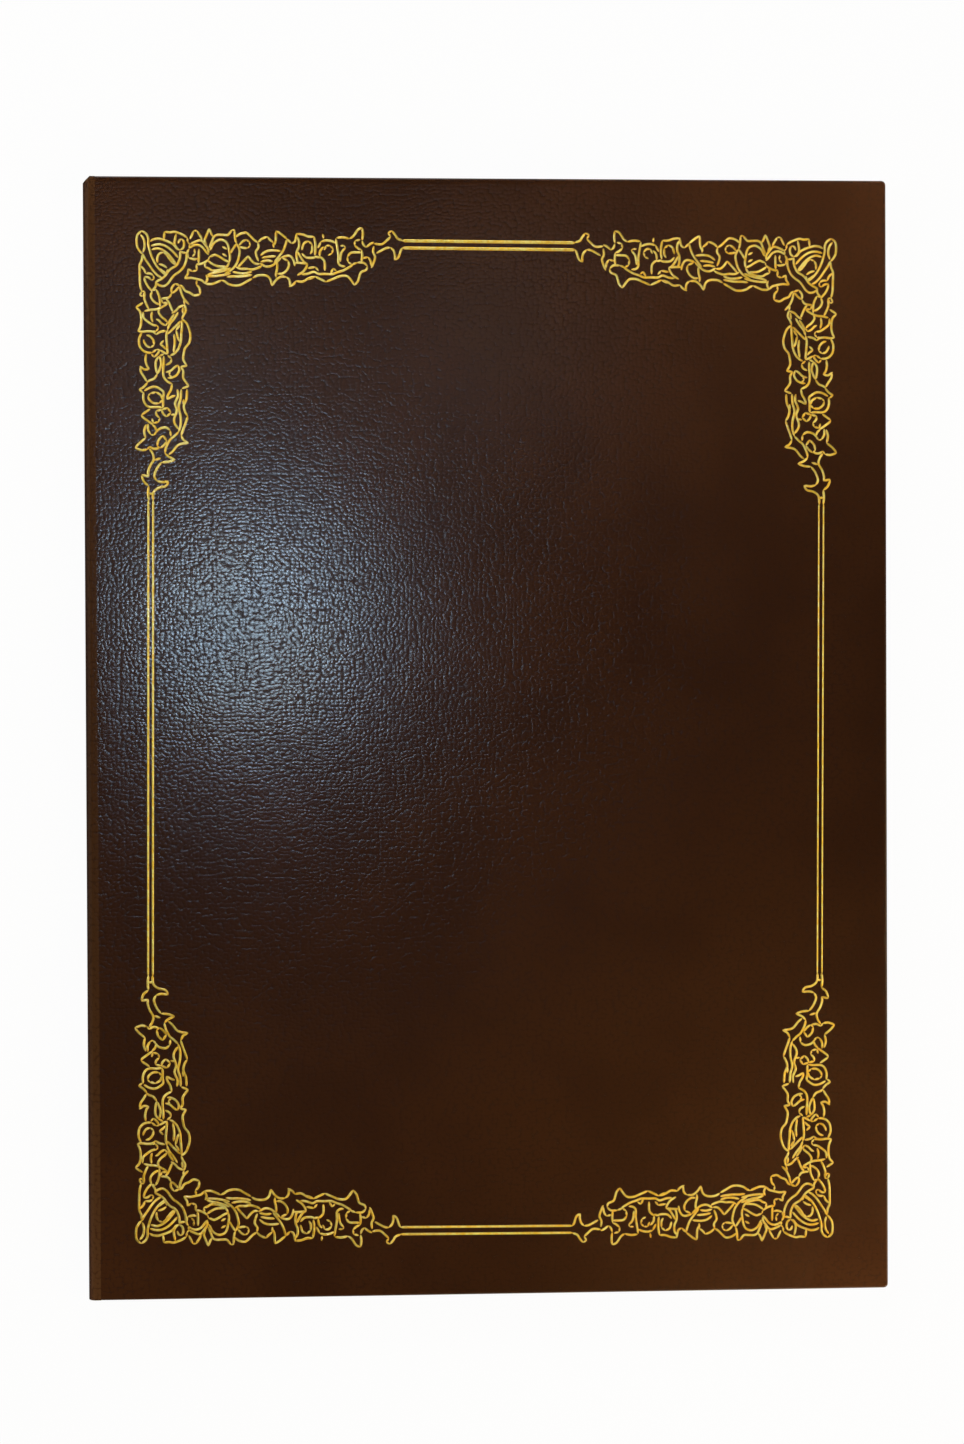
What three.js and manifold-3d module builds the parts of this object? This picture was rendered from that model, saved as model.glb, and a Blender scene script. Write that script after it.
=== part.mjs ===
// A certificate holder: two boards covered in leatherette, folded at a spine like a book, with a gold
// foil border on the front and a mount card with corner ribbons inside. Millimetres, +Z up. The holder
// lies closed on its back cover, with the spine at -X and the head of the sheet at +Y.

import * as THREE from 'three';
import { mergeVertices } from 'three/addons/utils/BufferGeometryUtils.js';
import Module from 'manifold-3d';

const wasm = await Module();
wasm.setup();

// Driving dimensions: the sheet that it holds and the cover round it
const SHEET_WIDTH = 210;
const SHEET_LENGTH = 297;
const COVER_MARGIN = 6.5;

// Thickness of each material
const LEATHERETTE = 0.5;
const BOARD = 2.0;
const SPINE_CARD = 1.2;
const LINING = 0.4;
const MOUNT_CARD = 1.0;
const ACETATE = 0.2;
const RIBBON = 0.25;
const FOIL = 0.1;

// Widths and radii
const TURN_IN = 15;
const FOLD_RADIUS = 2;
const COVER_CORNER = 1;
const COVER_EDGE = 0.5;
const LINING_MARGIN = 4;
const LINING_MARGIN_AT_SPINE = 3;
const ACETATE_TRIM = 1;
const RIBBON_WIDTH = 14;
const RIBBON_FROM_CORNER = 28;
const RIBBON_TAIL = 12;

// Gold border: the drawing grid starts this far in from the cover's corner
const BORDER_INSET = 12.5;
const ORNAMENT_STEP = 0.178;
const STROKE_WIDTH = 0.8;
const RULE_WIDTH = 0.85;
const RULE_GAP = 0.3;
const SHARPEST_MITRE = 1.6;

// Clearances
const GLUE = 0.1;
const FOIL_BOND = 0.02;
const CUT = 0.1;
const FIT = 0.3;
const SPINE_CLEARANCE = 1.0;
const SHEET_ROOM = 0.7;
const COVER_CLEARANCE = 0.35;

// Facets on the round stretches
const CREASE_FACETS = 6;
const EDGE_FACETS = 2;
const CORNER_FACETS = 3;

// Plan of the closed cover
const COVER_WIDTH = SHEET_WIDTH + 2 * COVER_MARGIN;
const COVER_LENGTH = SHEET_LENGTH + 2 * COVER_MARGIN;
const SPINE_X = -COVER_WIDTH / 2;
const FORE_X = COVER_WIDTH / 2;
const HEAD_Y = COVER_LENGTH / 2;

// Heights of the layers of a cover, from its outer face inwards
const BOARD_BOTTOM = LEATHERETTE + GLUE;
const BOARD_TOP = BOARD_BOTTOM + BOARD;
const TURN_IN_BOTTOM = BOARD_TOP + GLUE;
const COVER_THICKNESS = TURN_IN_BOTTOM + LEATHERETTE;

// Heights of what lies between the covers
const MOUNT_BOTTOM = COVER_THICKNESS + GLUE;
const MOUNT_TOP = MOUNT_BOTTOM + MOUNT_CARD;
const RIBBON_BOTTOM = MOUNT_TOP + SHEET_ROOM;
const RIBBON_TOP = RIBBON_BOTTOM + RIBBON;
const TAIL_BOTTOM = COVER_THICKNESS + GLUE;
const TAIL_TOP = TAIL_BOTTOM + RIBBON;
const TAIL_POCKET_TOP = TAIL_TOP + GLUE;
const LINING_BOTTOM = RIBBON_TOP + COVER_CLEARANCE;
const HOLDER_THICKNESS = LINING_BOTTOM + LINING + GLUE + COVER_THICKNESS;

// Depths of the layers of the spine, from its outer face inwards
const SPINE_CARD_NEAR = LEATHERETTE + GLUE;
const SPINE_CARD_FAR = SPINE_CARD_NEAR + SPINE_CARD;
const SPINE_TURN_IN_NEAR = SPINE_CARD_FAR + GLUE;
const SPINE_DEPTH = SPINE_TURN_IN_NEAR + LEATHERETTE;
const BOARD_X = SPINE_X + SPINE_DEPTH + SPINE_CLEARANCE;

// Outline shared by the mount card and the front lining
const LINING_X = BOARD_X + LINING_MARGIN_AT_SPINE;
const LINING_FORE_X = FORE_X - LINING_MARGIN;
const LINING_Y = HEAD_Y - LINING_MARGIN;

// Larger than the holder, for cutting shapes that pass right through it
const BEYOND = COVER_LENGTH;

const LEATHER_FINISH = { color: 0x3a2219, roughness: 0.42, metalness: 0 };
const GOLD_FINISH = { color: 0xd9a93a, roughness: 0.28, metalness: 1 };
const BOARD_FINISH = { color: 0x8c857a, roughness: 0.9, metalness: 0 };
const PAPER_FINISH = { color: 0xe8e0cc, roughness: 0.85, metalness: 0 };
const MOIRE_FINISH = { color: 0xe6dcc2, roughness: 0.5, metalness: 0 };
const RIBBON_FINISH = { color: 0xd9c48a, roughness: 0.35, metalness: 0 };
const ACETATE_FINISH = { color: 0xf2f6f8, roughness: 0.08, metalness: 0, transparent: true, opacity: 0.25 };

function piece(name, geometry, finish) {
  const mesh = new THREE.Mesh(geometry, new THREE.MeshStandardMaterial(finish));
  mesh.name = name;
  return mesh;
}

function slab(low, high) {
  const [x, y, z] = low.map((value, axis) => high[axis] - value);
  const geometry = new THREE.BoxGeometry(x, y, z);
  geometry.translate(...low.map((value, axis) => (value + high[axis]) / 2));
  return geometry;
}

// A closed geometry as a solid that can be joined and cut
function solid(geometry) {
  const bare = geometry.clone();
  bare.deleteAttribute('normal');
  bare.deleteAttribute('uv');
  const merged = mergeVertices(bare);
  const vertProperties = new Float32Array(merged.attributes.position.array);
  const triVerts = new Uint32Array(merged.index.array);
  return new wasm.Manifold(new wasm.Mesh({ numProp: 3, vertProperties, triVerts }));
}

function geometryOf(body) {
  const mesh = body.getMesh();
  const geometry = new THREE.BufferGeometry();
  geometry.setAttribute('position', new THREE.BufferAttribute(mesh.vertProperties, 3));
  geometry.setIndex(new THREE.BufferAttribute(mesh.triVerts, 1));
  geometry.computeVertexNormals();
  return geometry;
}

// A slab with rounded corners in plan and rounded edges, for a board wrapped in leatherette
function wrappedSlab(low, high) {
  const [x0, y0, z0] = low;
  const [x1, y1, z1] = high;
  const shape = new THREE.Shape();
  shape.moveTo(x0 + COVER_CORNER, y0);
  shape.lineTo(x1 - COVER_CORNER, y0);
  shape.absarc(x1 - COVER_CORNER, y0 + COVER_CORNER, COVER_CORNER, -Math.PI / 2, 0);
  shape.lineTo(x1, y1 - COVER_CORNER);
  shape.absarc(x1 - COVER_CORNER, y1 - COVER_CORNER, COVER_CORNER, 0, Math.PI / 2);
  shape.lineTo(x0 + COVER_CORNER, y1);
  shape.absarc(x0 + COVER_CORNER, y1 - COVER_CORNER, COVER_CORNER, Math.PI / 2, Math.PI);
  shape.lineTo(x0, y0 + COVER_CORNER);
  shape.absarc(x0 + COVER_CORNER, y0 + COVER_CORNER, COVER_CORNER, Math.PI, 1.5 * Math.PI);
  const geometry = new THREE.ExtrudeGeometry(shape, {
    depth: z1 - z0 - 2 * COVER_EDGE,
    bevelThickness: COVER_EDGE,
    bevelSize: COVER_EDGE,
    bevelOffset: -COVER_EDGE,
    bevelSegments: EDGE_FACETS,
    curveSegments: CORNER_FACETS,
  });
  geometry.translate(0, 0, z0 + COVER_EDGE);
  return geometry;
}

// The leatherette of one cover: a flat sheet that wraps the board and turns in on three sides.
// At the spine it is cut where the crease begins.
function coverSkin() {
  const outside = wrappedSlab([SPINE_X, -HEAD_Y, 0], [FORE_X, HEAD_Y, COVER_THICKNESS]);
  const side = HEAD_Y - LEATHERETTE;
  const pocket = slab([SPINE_X - BEYOND, -side, LEATHERETTE], [FORE_X - LEATHERETTE, side, TURN_IN_BOTTOM]);
  const window = slab(
    [SPINE_X - BEYOND, TURN_IN - HEAD_Y, BOARD_TOP],
    [FORE_X - TURN_IN, HEAD_Y - TURN_IN, BEYOND],
  );
  const crease = slab([SPINE_X - BEYOND, -BEYOND, -BEYOND], [SPINE_X + FOLD_RADIUS + CUT, BEYOND, BEYOND]);
  const joint = slab([SPINE_X - BEYOND, -BEYOND, LEATHERETTE], [BOARD_X, BEYOND, BEYOND]);
  const skin = [pocket, window, crease, joint].reduce(
    (body, cut) => body.subtract(solid(cut)),
    solid(outside),
  );
  return geometryOf(skin);
}

function coverBoard() {
  const side = HEAD_Y - LEATHERETTE - GLUE;
  return slab([BOARD_X, -side, BOARD_BOTTOM], [FORE_X - LEATHERETTE - GLUE, side, BOARD_TOP]);
}

// The strip of leatherette that closes the frame of turn-ins at the spine
function hingeStrip() {
  const side = HEAD_Y - TURN_IN - FIT;
  return slab([BOARD_X, -side, TURN_IN_BOTTOM], [BOARD_X + TURN_IN, side, COVER_THICKNESS]);
}

function coverInfill() {
  const side = HEAD_Y - TURN_IN - FIT;
  return slab(
    [BOARD_X + TURN_IN + FIT, -side, TURN_IN_BOTTOM],
    [FORE_X - TURN_IN - FIT, side, COVER_THICKNESS],
  );
}

// A quarter-round of leatherette along the spine, from the cover's face to the spine's face
function creaseStrip() {
  const section = new THREE.Shape();
  const x = SPINE_X + FOLD_RADIUS;
  section.absarc(x, FOLD_RADIUS, FOLD_RADIUS, Math.PI, 1.5 * Math.PI, false);
  section.absarc(x, FOLD_RADIUS, FOLD_RADIUS - LEATHERETTE, 1.5 * Math.PI, Math.PI, true);
  section.closePath();
  const geometry = new THREE.ExtrudeGeometry(section, {
    depth: COVER_LENGTH,
    bevelEnabled: false,
    curveSegments: CREASE_FACETS,
  });
  geometry.rotateX(Math.PI / 2);
  geometry.translate(0, HEAD_Y, 0);
  return geometry;
}

// The spine: leatherette turned in at head and tail over a stiff card, and the strip that lines it
function spineSkin() {
  const low = FOLD_RADIUS + CUT;
  const high = HOLDER_THICKNESS - FOLD_RADIUS - CUT;
  const outside = slab([SPINE_X, -HEAD_Y, low], [SPINE_X + SPINE_DEPTH, HEAD_Y, high]);
  const side = HEAD_Y - LEATHERETTE;
  const pocket = slab(
    [SPINE_X + LEATHERETTE, -side, -BEYOND],
    [SPINE_X + SPINE_TURN_IN_NEAR, side, BEYOND],
  );
  const window = slab(
    [SPINE_X + SPINE_CARD_FAR, TURN_IN - HEAD_Y, -BEYOND],
    [SPINE_X + BEYOND, HEAD_Y - TURN_IN, BEYOND],
  );
  return geometryOf(solid(outside).subtract(solid(pocket)).subtract(solid(window)));
}

function spineCard() {
  const low = FOLD_RADIUS + CUT;
  const high = HOLDER_THICKNESS - FOLD_RADIUS - CUT;
  const side = HEAD_Y - LEATHERETTE - GLUE;
  return slab([SPINE_X + SPINE_CARD_NEAR, -side, low], [SPINE_X + SPINE_CARD_FAR, side, high]);
}

function spineHingeStrip() {
  const low = FOLD_RADIUS + CUT;
  const high = HOLDER_THICKNESS - FOLD_RADIUS - CUT;
  const side = HEAD_Y - TURN_IN - FIT;
  return slab([SPINE_X + SPINE_TURN_IN_NEAR, -side, low], [SPINE_X + SPINE_DEPTH, side, high]);
}

function frontLining() {
  const bottom = COVER_THICKNESS + GLUE;
  return slab([LINING_X, -LINING_Y, bottom], [LINING_FORE_X, LINING_Y, bottom + LINING]);
}

// The four corners of the sheet, each with its sign along X and Y
const CORNERS = [
  { name: 'head_spine', alongX: -1, alongY: 1 },
  { name: 'head_fore', alongX: 1, alongY: 1 },
  { name: 'tail_spine', alongX: -1, alongY: -1 },
  { name: 'tail_fore', alongX: 1, alongY: -1 },
];

// A band across a corner of the mount card at 45 degrees, as a prism through the whole holder
function bandAcross(corner, spare) {
  const cornerX = corner.alongX < 0 ? LINING_X : LINING_FORE_X;
  const cornerY = corner.alongY * LINING_Y;
  const near = (RIBBON_FROM_CORNER - spare) * Math.SQRT2;
  const far = (RIBBON_FROM_CORNER + RIBBON_WIDTH + spare) * Math.SQRT2;
  const at = (inX, inY) => new THREE.Vector2(cornerX - corner.alongX * inX, cornerY - corner.alongY * inY);
  const past = near / 2;
  const shape = new THREE.Shape([
    at(near + past, -past),
    at(far + past, -past),
    at(-past, far + past),
    at(-past, near + past),
  ]);
  const geometry = new THREE.ExtrudeGeometry(shape, { depth: 2 * BEYOND, bevelEnabled: false });
  geometry.translate(0, 0, -BEYOND);
  return solid(geometry);
}

// The part of the mount card's underside near a corner that lies further in than a ribbon's tail
function insideTails(corner, length, top) {
  const edgeX = corner.alongX < 0 ? LINING_X + length : LINING_FORE_X - length;
  const edgeY = corner.alongY * (LINING_Y - length);
  const xs = [edgeX, edgeX - corner.alongX * BEYOND].sort((a, b) => a - b);
  const ys = [edgeY, edgeY - corner.alongY * BEYOND].sort((a, b) => a - b);
  return solid(slab([xs[0], ys[0], -BEYOND], [xs[1], ys[1], top]));
}

// A satin ribbon over one corner: it runs over the sheet, down the card's edges and is glued underneath
function cornerRibbon(corner) {
  const outer = GLUE + RIBBON;
  const sleeve = solid(
    slab(
      [LINING_X - outer, -LINING_Y - outer, TAIL_BOTTOM],
      [LINING_FORE_X + outer, LINING_Y + outer, RIBBON_TOP],
    ),
  );
  const room = solid(
    slab(
      [LINING_X - GLUE, -LINING_Y - GLUE, TAIL_TOP],
      [LINING_FORE_X + GLUE, LINING_Y + GLUE, RIBBON_BOTTOM],
    ),
  );
  const wrap = sleeve.subtract(room).intersect(bandAcross(corner, 0));
  return geometryOf(wrap.subtract(insideTails(corner, RIBBON_TAIL, TAIL_TOP + GLUE / 2)));
}

// The card that the sheet lies on, with shallow pockets underneath for the ribbons' tails
function mountCard() {
  const card = solid(slab([LINING_X, -LINING_Y, MOUNT_BOTTOM], [LINING_FORE_X, LINING_Y, MOUNT_TOP]));
  const under = slab([-BEYOND, -BEYOND, -BEYOND], [BEYOND, BEYOND, TAIL_POCKET_TOP]);
  const pockets = CORNERS.map((corner) =>
    bandAcross(corner, FIT)
      .intersect(solid(under))
      .subtract(insideTails(corner, RIBBON_TAIL + FIT, BEYOND)),
  );
  return geometryOf(pockets.reduce((body, pocket) => body.subtract(pocket), card));
}

// The clear sheet in front of the certificate, a little smaller than the certificate
function acetateSheet() {
  const middle = (LINING_X + LINING_FORE_X) / 2;
  const halfX = SHEET_WIDTH / 2 - ACETATE_TRIM;
  const halfY = SHEET_LENGTH / 2 - ACETATE_TRIM;
  const bottom = MOUNT_TOP + GLUE;
  return slab([middle - halfX, -halfY, bottom], [middle + halfX, halfY, bottom + ACETATE]);
}

// The foliate corner, drawn by hand on the grid: the first number runs along the head from the cover's
// corner, the second down the side. Each line is one stroke of foil.
const SHELL_STROKES = [
  [[20, 13], [13, 21], [13, 35], [21, 48]],
  [[20, 13], [29, 22], [30, 34], [37, 55], [47, 71], [58, 78]],
  [[21, 48], [31, 65], [44, 82], [51, 86]],
  [[21, 48], [17, 66], [17, 90], [20, 107]],
  [[30, 31], [40, 25], [54, 27], [70, 35], [79, 44]],
  [[32, 40], [44, 35], [58, 38], [70, 48], [77, 57]],
  [[45, 68], [44, 54], [53, 46], [62, 54], [73, 66]],
  [[79, 44], [78, 57], [73, 66], [60, 76], [50, 87], [42, 93]],
  [[79, 44], [89, 47], [87, 62], [77, 76], [65, 87], [55, 98], [42, 93]],
];
const CREST_STROKES = [
  [[54, 27], [55, 14], [70, 14], [84, 19], [92, 31]],
  [[71, 14], [71, 32], [79, 42], [86, 33], [80, 24]],
  [[92, 31], [102, 11], [114, 29]],
  [[92, 33], [107, 28], [117, 34], [124, 48]],
  [[116, 33], [124, 9], [131, 22]],
  [[124, 48], [131, 22], [142, 18], [153, 18], [162, 11], [166, 31]],
  [[124, 48], [122, 57], [104, 64], [105, 74], [91, 72], [86, 86], [106, 87], [118, 94]],
  [[106, 87], [105, 96], [110, 110], [98, 111], [79, 97]],
  [[79, 97], [70, 95], [66, 109], [49, 118]],
  [[66, 109], [79, 97], [84, 117], [93, 126]],
];
const HEAD_ARM_STROKES = [
  [[118, 94], [130, 94], [144, 89], [160, 96], [176, 93], [191, 84], [211, 80], [221, 96]],
  [[118, 94], [121, 81], [150, 73], [166, 62], [171, 43], [166, 31]],
  [[121, 81], [150, 81], [190, 76], [202, 62]],
  [[165, 20], [174, 15], [186, 18], [199, 29], [196, 44], [202, 62]],
  [[199, 29], [211, 20], [222, 30], [227, 11], [244, 23], [238, 42], [224, 60], [211, 66], [202, 62]],
  [[244, 23], [252, 30], [259, 15], [286, 19], [288, 50]],
  [[227, 56], [240, 49], [252, 53], [247, 66], [227, 78], [227, 56]],
  [[221, 96], [232, 83], [245, 84], [249, 97], [260, 89], [287, 81]],
  [[287, 81], [304, 89], [326, 80], [340, 83], [349, 94]],
  [[260, 89], [286, 73], [303, 77], [322, 74], [346, 62]],
  [[287, 28], [277, 26], [268, 35], [271, 50], [288, 50], [301, 56], [303, 77]],
  [[288, 50], [296, 27], [312, 26], [320, 22], [322, 46], [327, 64], [346, 62]],
  [[320, 22], [341, 21], [360, 5], [361, 58]],
  [[361, 43], [342, 44], [338, 56], [352, 59], [368, 64], [358, 74], [349, 94]],
  [[361, 25], [367, 34], [379, 28], [378, 42], [381, 50], [375, 66], [361, 52]],
  [[379, 28], [391, 29], [405, 18], [402, 11], [412, 14], [424, 24]],
  [[379, 45], [398, 36], [409, 40], [411, 54], [424, 35]],
];
const SIDE_ARM_STROKES = [
  [[20, 107], [25, 108], [24, 118], [32, 135], [48, 131]],
  [[25, 124], [11, 131], [19, 144], [19, 158], [14, 168], [38, 169], [59, 166]],
  [[42, 93], [48, 118], [47, 138], [62, 154]],
  [[48, 118], [60, 122], [68, 138], [86, 127], [82, 149]],
  [[82, 149], [93, 164], [95, 176], [87, 193], [84, 208], [90, 221]],
  [[68, 138], [59, 166], [59, 202], [70, 201], [80, 182], [82, 149]],
  [[20, 169], [16, 182], [20, 196], [32, 202], [48, 197], [59, 202]],
  [[27, 169], [39, 184], [32, 193], [23, 183]],
  [[27, 201], [27, 215], [32, 226], [17, 223], [28, 246], [16, 258], [24, 262]],
  [[59, 202], [45, 208], [42, 222], [44, 234], [28, 246]],
  [[54, 204], [53, 230], [58, 245], [67, 249], [59, 272], [75, 267]],
  [[53, 232], [76, 220], [76, 232], [57, 243]],
  [[90, 221], [80, 222], [84, 240], [93, 252], [89, 271], [85, 283]],
  [[85, 283], [91, 299], [84, 320], [82, 330], [92, 340]],
  [[90, 254], [75, 256], [76, 284], [78, 300], [77, 322], [59, 344], [56, 356], [71, 366]],
  [[24, 262], [42, 254], [54, 264], [53, 284], [32, 285], [23, 273], [24, 262]],
  [[32, 285], [20, 297], [44, 322], [52, 316], [64, 322], [66, 336]],
  [[53, 284], [42, 291], [48, 303], [35, 311]],
  [[92, 340], [77, 344], [60, 360]],
  [[28, 306], [24, 322], [26, 333], [10, 348], [30, 351], [47, 349], [61, 341]],
  [[32, 350], [38, 366], [30, 386], [31, 393], [20, 391], [31, 407], [30, 424]],
  [[71, 366], [50, 371], [40, 391], [48, 401], [62, 400], [46, 410], [38, 424]],
  [[38, 366], [50, 371]],
];
const ORNAMENT_STROKES = [SHELL_STROKES, CREST_STROKES, HEAD_ARM_STROKES, SIDE_ARM_STROKES].flat();

// Grid lines on which the double rules leave the corner ornament
const HEAD_RULE_START = 424;
const HEAD_RULE_LINES = { outer: 24, inner: 35 };
const SIDE_RULE_START = 424;
const SIDE_RULE_LINES = { outer: 30, inner: 38 };

const FOIL_BOTTOM = HOLDER_THICKNESS + FOIL_BOND;
const FOIL_TOP = FOIL_BOTTOM + FOIL;

// Distance from the middle of the cover to a grid line
function fromMiddle(half, gridLine) {
  return half - BORDER_INSET - gridLine * ORNAMENT_STEP;
}

// A flat bar of foil along a line of points, with mitred turns
function foilStroke(points) {
  const legs = points.slice(1).map((point, i) => point.clone().sub(points[i]).normalize());
  const square = (leg) => new THREE.Vector2(-leg.y, leg.x);
  const half = STROKE_WIDTH / 2;
  const corners = points.flatMap((point, i) => {
    const before = square(legs[Math.max(i - 1, 0)]);
    const after = square(legs[Math.min(i, legs.length - 1)]);
    const across = before.clone().add(after).normalize();
    across.multiplyScalar(half * Math.min(SHARPEST_MITRE, 1 / across.dot(after)));
    const left = point.clone().add(across);
    const right = point.clone().sub(across);
    return [left, right].flatMap((side) => [FOIL_BOTTOM, FOIL_TOP].map((z) => [side.x, side.y, z]));
  });
  const quad = (a, b, c, d) => [a, b, c, a, c, d];
  const [leftLow, leftHigh, rightLow, rightHigh] = [0, 1, 2, 3];
  const last = 4 * legs.length;
  const faces = legs.flatMap((leg, i) => {
    const [here, next] = [4 * i, 4 * i + 4];
    return [
      ...quad(here + rightHigh, next + rightHigh, next + leftHigh, here + leftHigh),
      ...quad(here + leftLow, next + leftLow, next + rightLow, here + rightLow),
      ...quad(here + leftLow, here + leftHigh, next + leftHigh, next + leftLow),
      ...quad(here + rightLow, next + rightLow, next + rightHigh, here + rightHigh),
    ];
  });
  const ends = [
    ...quad(leftLow, rightLow, rightHigh, leftHigh),
    ...quad(last + rightLow, last + leftLow, last + leftHigh, last + rightHigh),
  ];
  const geometry = new THREE.BufferGeometry();
  geometry.setAttribute('position', new THREE.Float32BufferAttribute(corners.flat(), 3));
  geometry.setIndex([...faces, ...ends]);
  return solid(geometry);
}

function foilCorner(corner) {
  const place = ([along, down]) => new THREE.Vector2(
    corner.alongX * fromMiddle(COVER_WIDTH / 2, along),
    corner.alongY * fromMiddle(COVER_LENGTH / 2, down),
  );
  const strokes = ORNAMENT_STROKES.map((stroke) => foilStroke(stroke.map(place)));
  return geometryOf(strokes.reduce((body, stroke) => body.add(stroke)));
}

// One straight rule between two corner ornaments: its end, its line and its half width set its box
function headRule(sign, gridLine) {
  const end = fromMiddle(COVER_WIDTH / 2, HEAD_RULE_START) - STROKE_WIDTH - RULE_GAP;
  const y = sign * fromMiddle(COVER_LENGTH / 2, gridLine);
  return slab([-end, y - RULE_WIDTH / 2, FOIL_BOTTOM], [end, y + RULE_WIDTH / 2, FOIL_TOP]);
}

function sideRule(sign, gridLine) {
  const end = fromMiddle(COVER_LENGTH / 2, SIDE_RULE_START) - STROKE_WIDTH - RULE_GAP;
  const x = sign * fromMiddle(COVER_WIDTH / 2, gridLine);
  return slab([x - RULE_WIDTH / 2, -end, FOIL_BOTTOM], [x + RULE_WIDTH / 2, end, FOIL_TOP]);
}

function backCover() {
  const cover = new THREE.Group();
  cover.add(piece('back_skin', coverSkin(), LEATHER_FINISH));
  cover.add(piece('back_board', coverBoard(), BOARD_FINISH));
  cover.add(piece('back_infill', coverInfill(), PAPER_FINISH));
  cover.add(piece('back_hinge_strip', hingeStrip(), LEATHER_FINISH));
  cover.add(piece('back_crease', creaseStrip(), LEATHER_FINISH));
  cover.add(piece('mount_card', mountCard(), MOIRE_FINISH));
  cover.add(piece('acetate_sheet', acetateSheet(), ACETATE_FINISH));
  CORNERS.forEach((corner) => {
    cover.add(piece(`ribbon_${corner.name}`, cornerRibbon(corner), RIBBON_FINISH));
  });
  return cover;
}

function spine() {
  const strip = new THREE.Group();
  strip.add(piece('spine_skin', spineSkin(), LEATHER_FINISH));
  strip.add(piece('spine_card', spineCard(), BOARD_FINISH));
  strip.add(piece('spine_hinge_strip', spineHingeStrip(), LEATHER_FINISH));
  return strip;
}

// The front cover is made like the back cover and turned over on top of it
function frontCover() {
  const cover = new THREE.Group();
  cover.add(piece('front_skin', coverSkin(), LEATHER_FINISH));
  cover.add(piece('front_board', coverBoard(), BOARD_FINISH));
  cover.add(piece('front_infill', coverInfill(), PAPER_FINISH));
  cover.add(piece('front_hinge_strip', hingeStrip(), LEATHER_FINISH));
  cover.add(piece('front_lining', frontLining(), MOIRE_FINISH));
  cover.add(piece('front_crease', creaseStrip(), LEATHER_FINISH));
  cover.rotation.x = Math.PI;
  cover.position.z = HOLDER_THICKNESS;
  return cover;
}

function goldBorder() {
  const border = new THREE.Group();
  CORNERS.forEach((corner) => {
    border.add(piece(`foil_corner_${corner.name}`, foilCorner(corner), GOLD_FINISH));
  });
  Object.entries(HEAD_RULE_LINES).forEach(([line, at]) => {
    border.add(piece(`foil_rule_head_${line}`, headRule(1, at), GOLD_FINISH));
    border.add(piece(`foil_rule_tail_${line}`, headRule(-1, at), GOLD_FINISH));
  });
  Object.entries(SIDE_RULE_LINES).forEach(([line, at]) => {
    border.add(piece(`foil_rule_spine_${line}`, sideRule(-1, at), GOLD_FINISH));
    border.add(piece(`foil_rule_fore_${line}`, sideRule(1, at), GOLD_FINISH));
  });
  return border;
}

const holder = new THREE.Group();
holder.name = 'certificate_holder';
holder.add(backCover(), spine(), frontCover(), goldBorder());

export default holder;
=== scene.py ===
# %% [markdown]
# # A certificate holder in brown leatherette, with a gold border
#
# The holder is a book-style cover: two boards wrapped in leatherette and folded at a narrow spine, with a
# mount card, four corner ribbons and a clear sheet inside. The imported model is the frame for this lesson.
# It says where each piece lies and how the covers fold, so every piece here takes its place from it.
# The frame comes in metres, with the spine at -X, the head of the sheet at +Y and the front cover on top.

# %% Load the frame
import math

import bmesh
import bpy
from mathutils import Matrix, Vector


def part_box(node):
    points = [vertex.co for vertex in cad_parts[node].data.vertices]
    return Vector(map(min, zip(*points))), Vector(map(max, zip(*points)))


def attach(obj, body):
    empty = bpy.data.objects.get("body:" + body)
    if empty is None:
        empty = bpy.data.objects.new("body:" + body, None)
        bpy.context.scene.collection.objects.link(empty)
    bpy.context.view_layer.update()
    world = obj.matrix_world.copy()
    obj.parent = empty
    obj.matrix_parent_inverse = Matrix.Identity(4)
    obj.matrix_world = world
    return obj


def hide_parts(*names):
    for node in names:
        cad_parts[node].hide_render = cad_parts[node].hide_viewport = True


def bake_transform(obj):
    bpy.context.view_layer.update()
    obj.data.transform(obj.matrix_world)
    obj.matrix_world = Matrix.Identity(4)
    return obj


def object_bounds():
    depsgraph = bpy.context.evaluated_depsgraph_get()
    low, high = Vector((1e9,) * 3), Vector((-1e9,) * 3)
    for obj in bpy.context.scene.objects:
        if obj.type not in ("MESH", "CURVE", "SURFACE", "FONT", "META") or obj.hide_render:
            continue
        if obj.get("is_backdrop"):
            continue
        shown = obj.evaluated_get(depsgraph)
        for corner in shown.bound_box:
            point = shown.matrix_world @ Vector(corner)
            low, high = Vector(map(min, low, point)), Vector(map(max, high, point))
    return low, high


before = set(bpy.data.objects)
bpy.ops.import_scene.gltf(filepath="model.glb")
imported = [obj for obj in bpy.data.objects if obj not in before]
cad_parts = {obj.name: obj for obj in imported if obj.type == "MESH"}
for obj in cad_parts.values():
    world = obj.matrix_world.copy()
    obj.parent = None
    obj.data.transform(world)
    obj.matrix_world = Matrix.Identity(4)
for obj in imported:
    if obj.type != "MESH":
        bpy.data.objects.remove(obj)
cad_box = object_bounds()

# %% [markdown]
# ## Sizes
#
# A maker measures the carcass before cutting the leatherette. The same is done here: the faces of the packed
# nodes give the outline of the covers, the heights of their layers and the radius of the fold. Only finishing
# sizes that the construction doesn't hold, such as how round an edge is, are written as new values.

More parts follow.
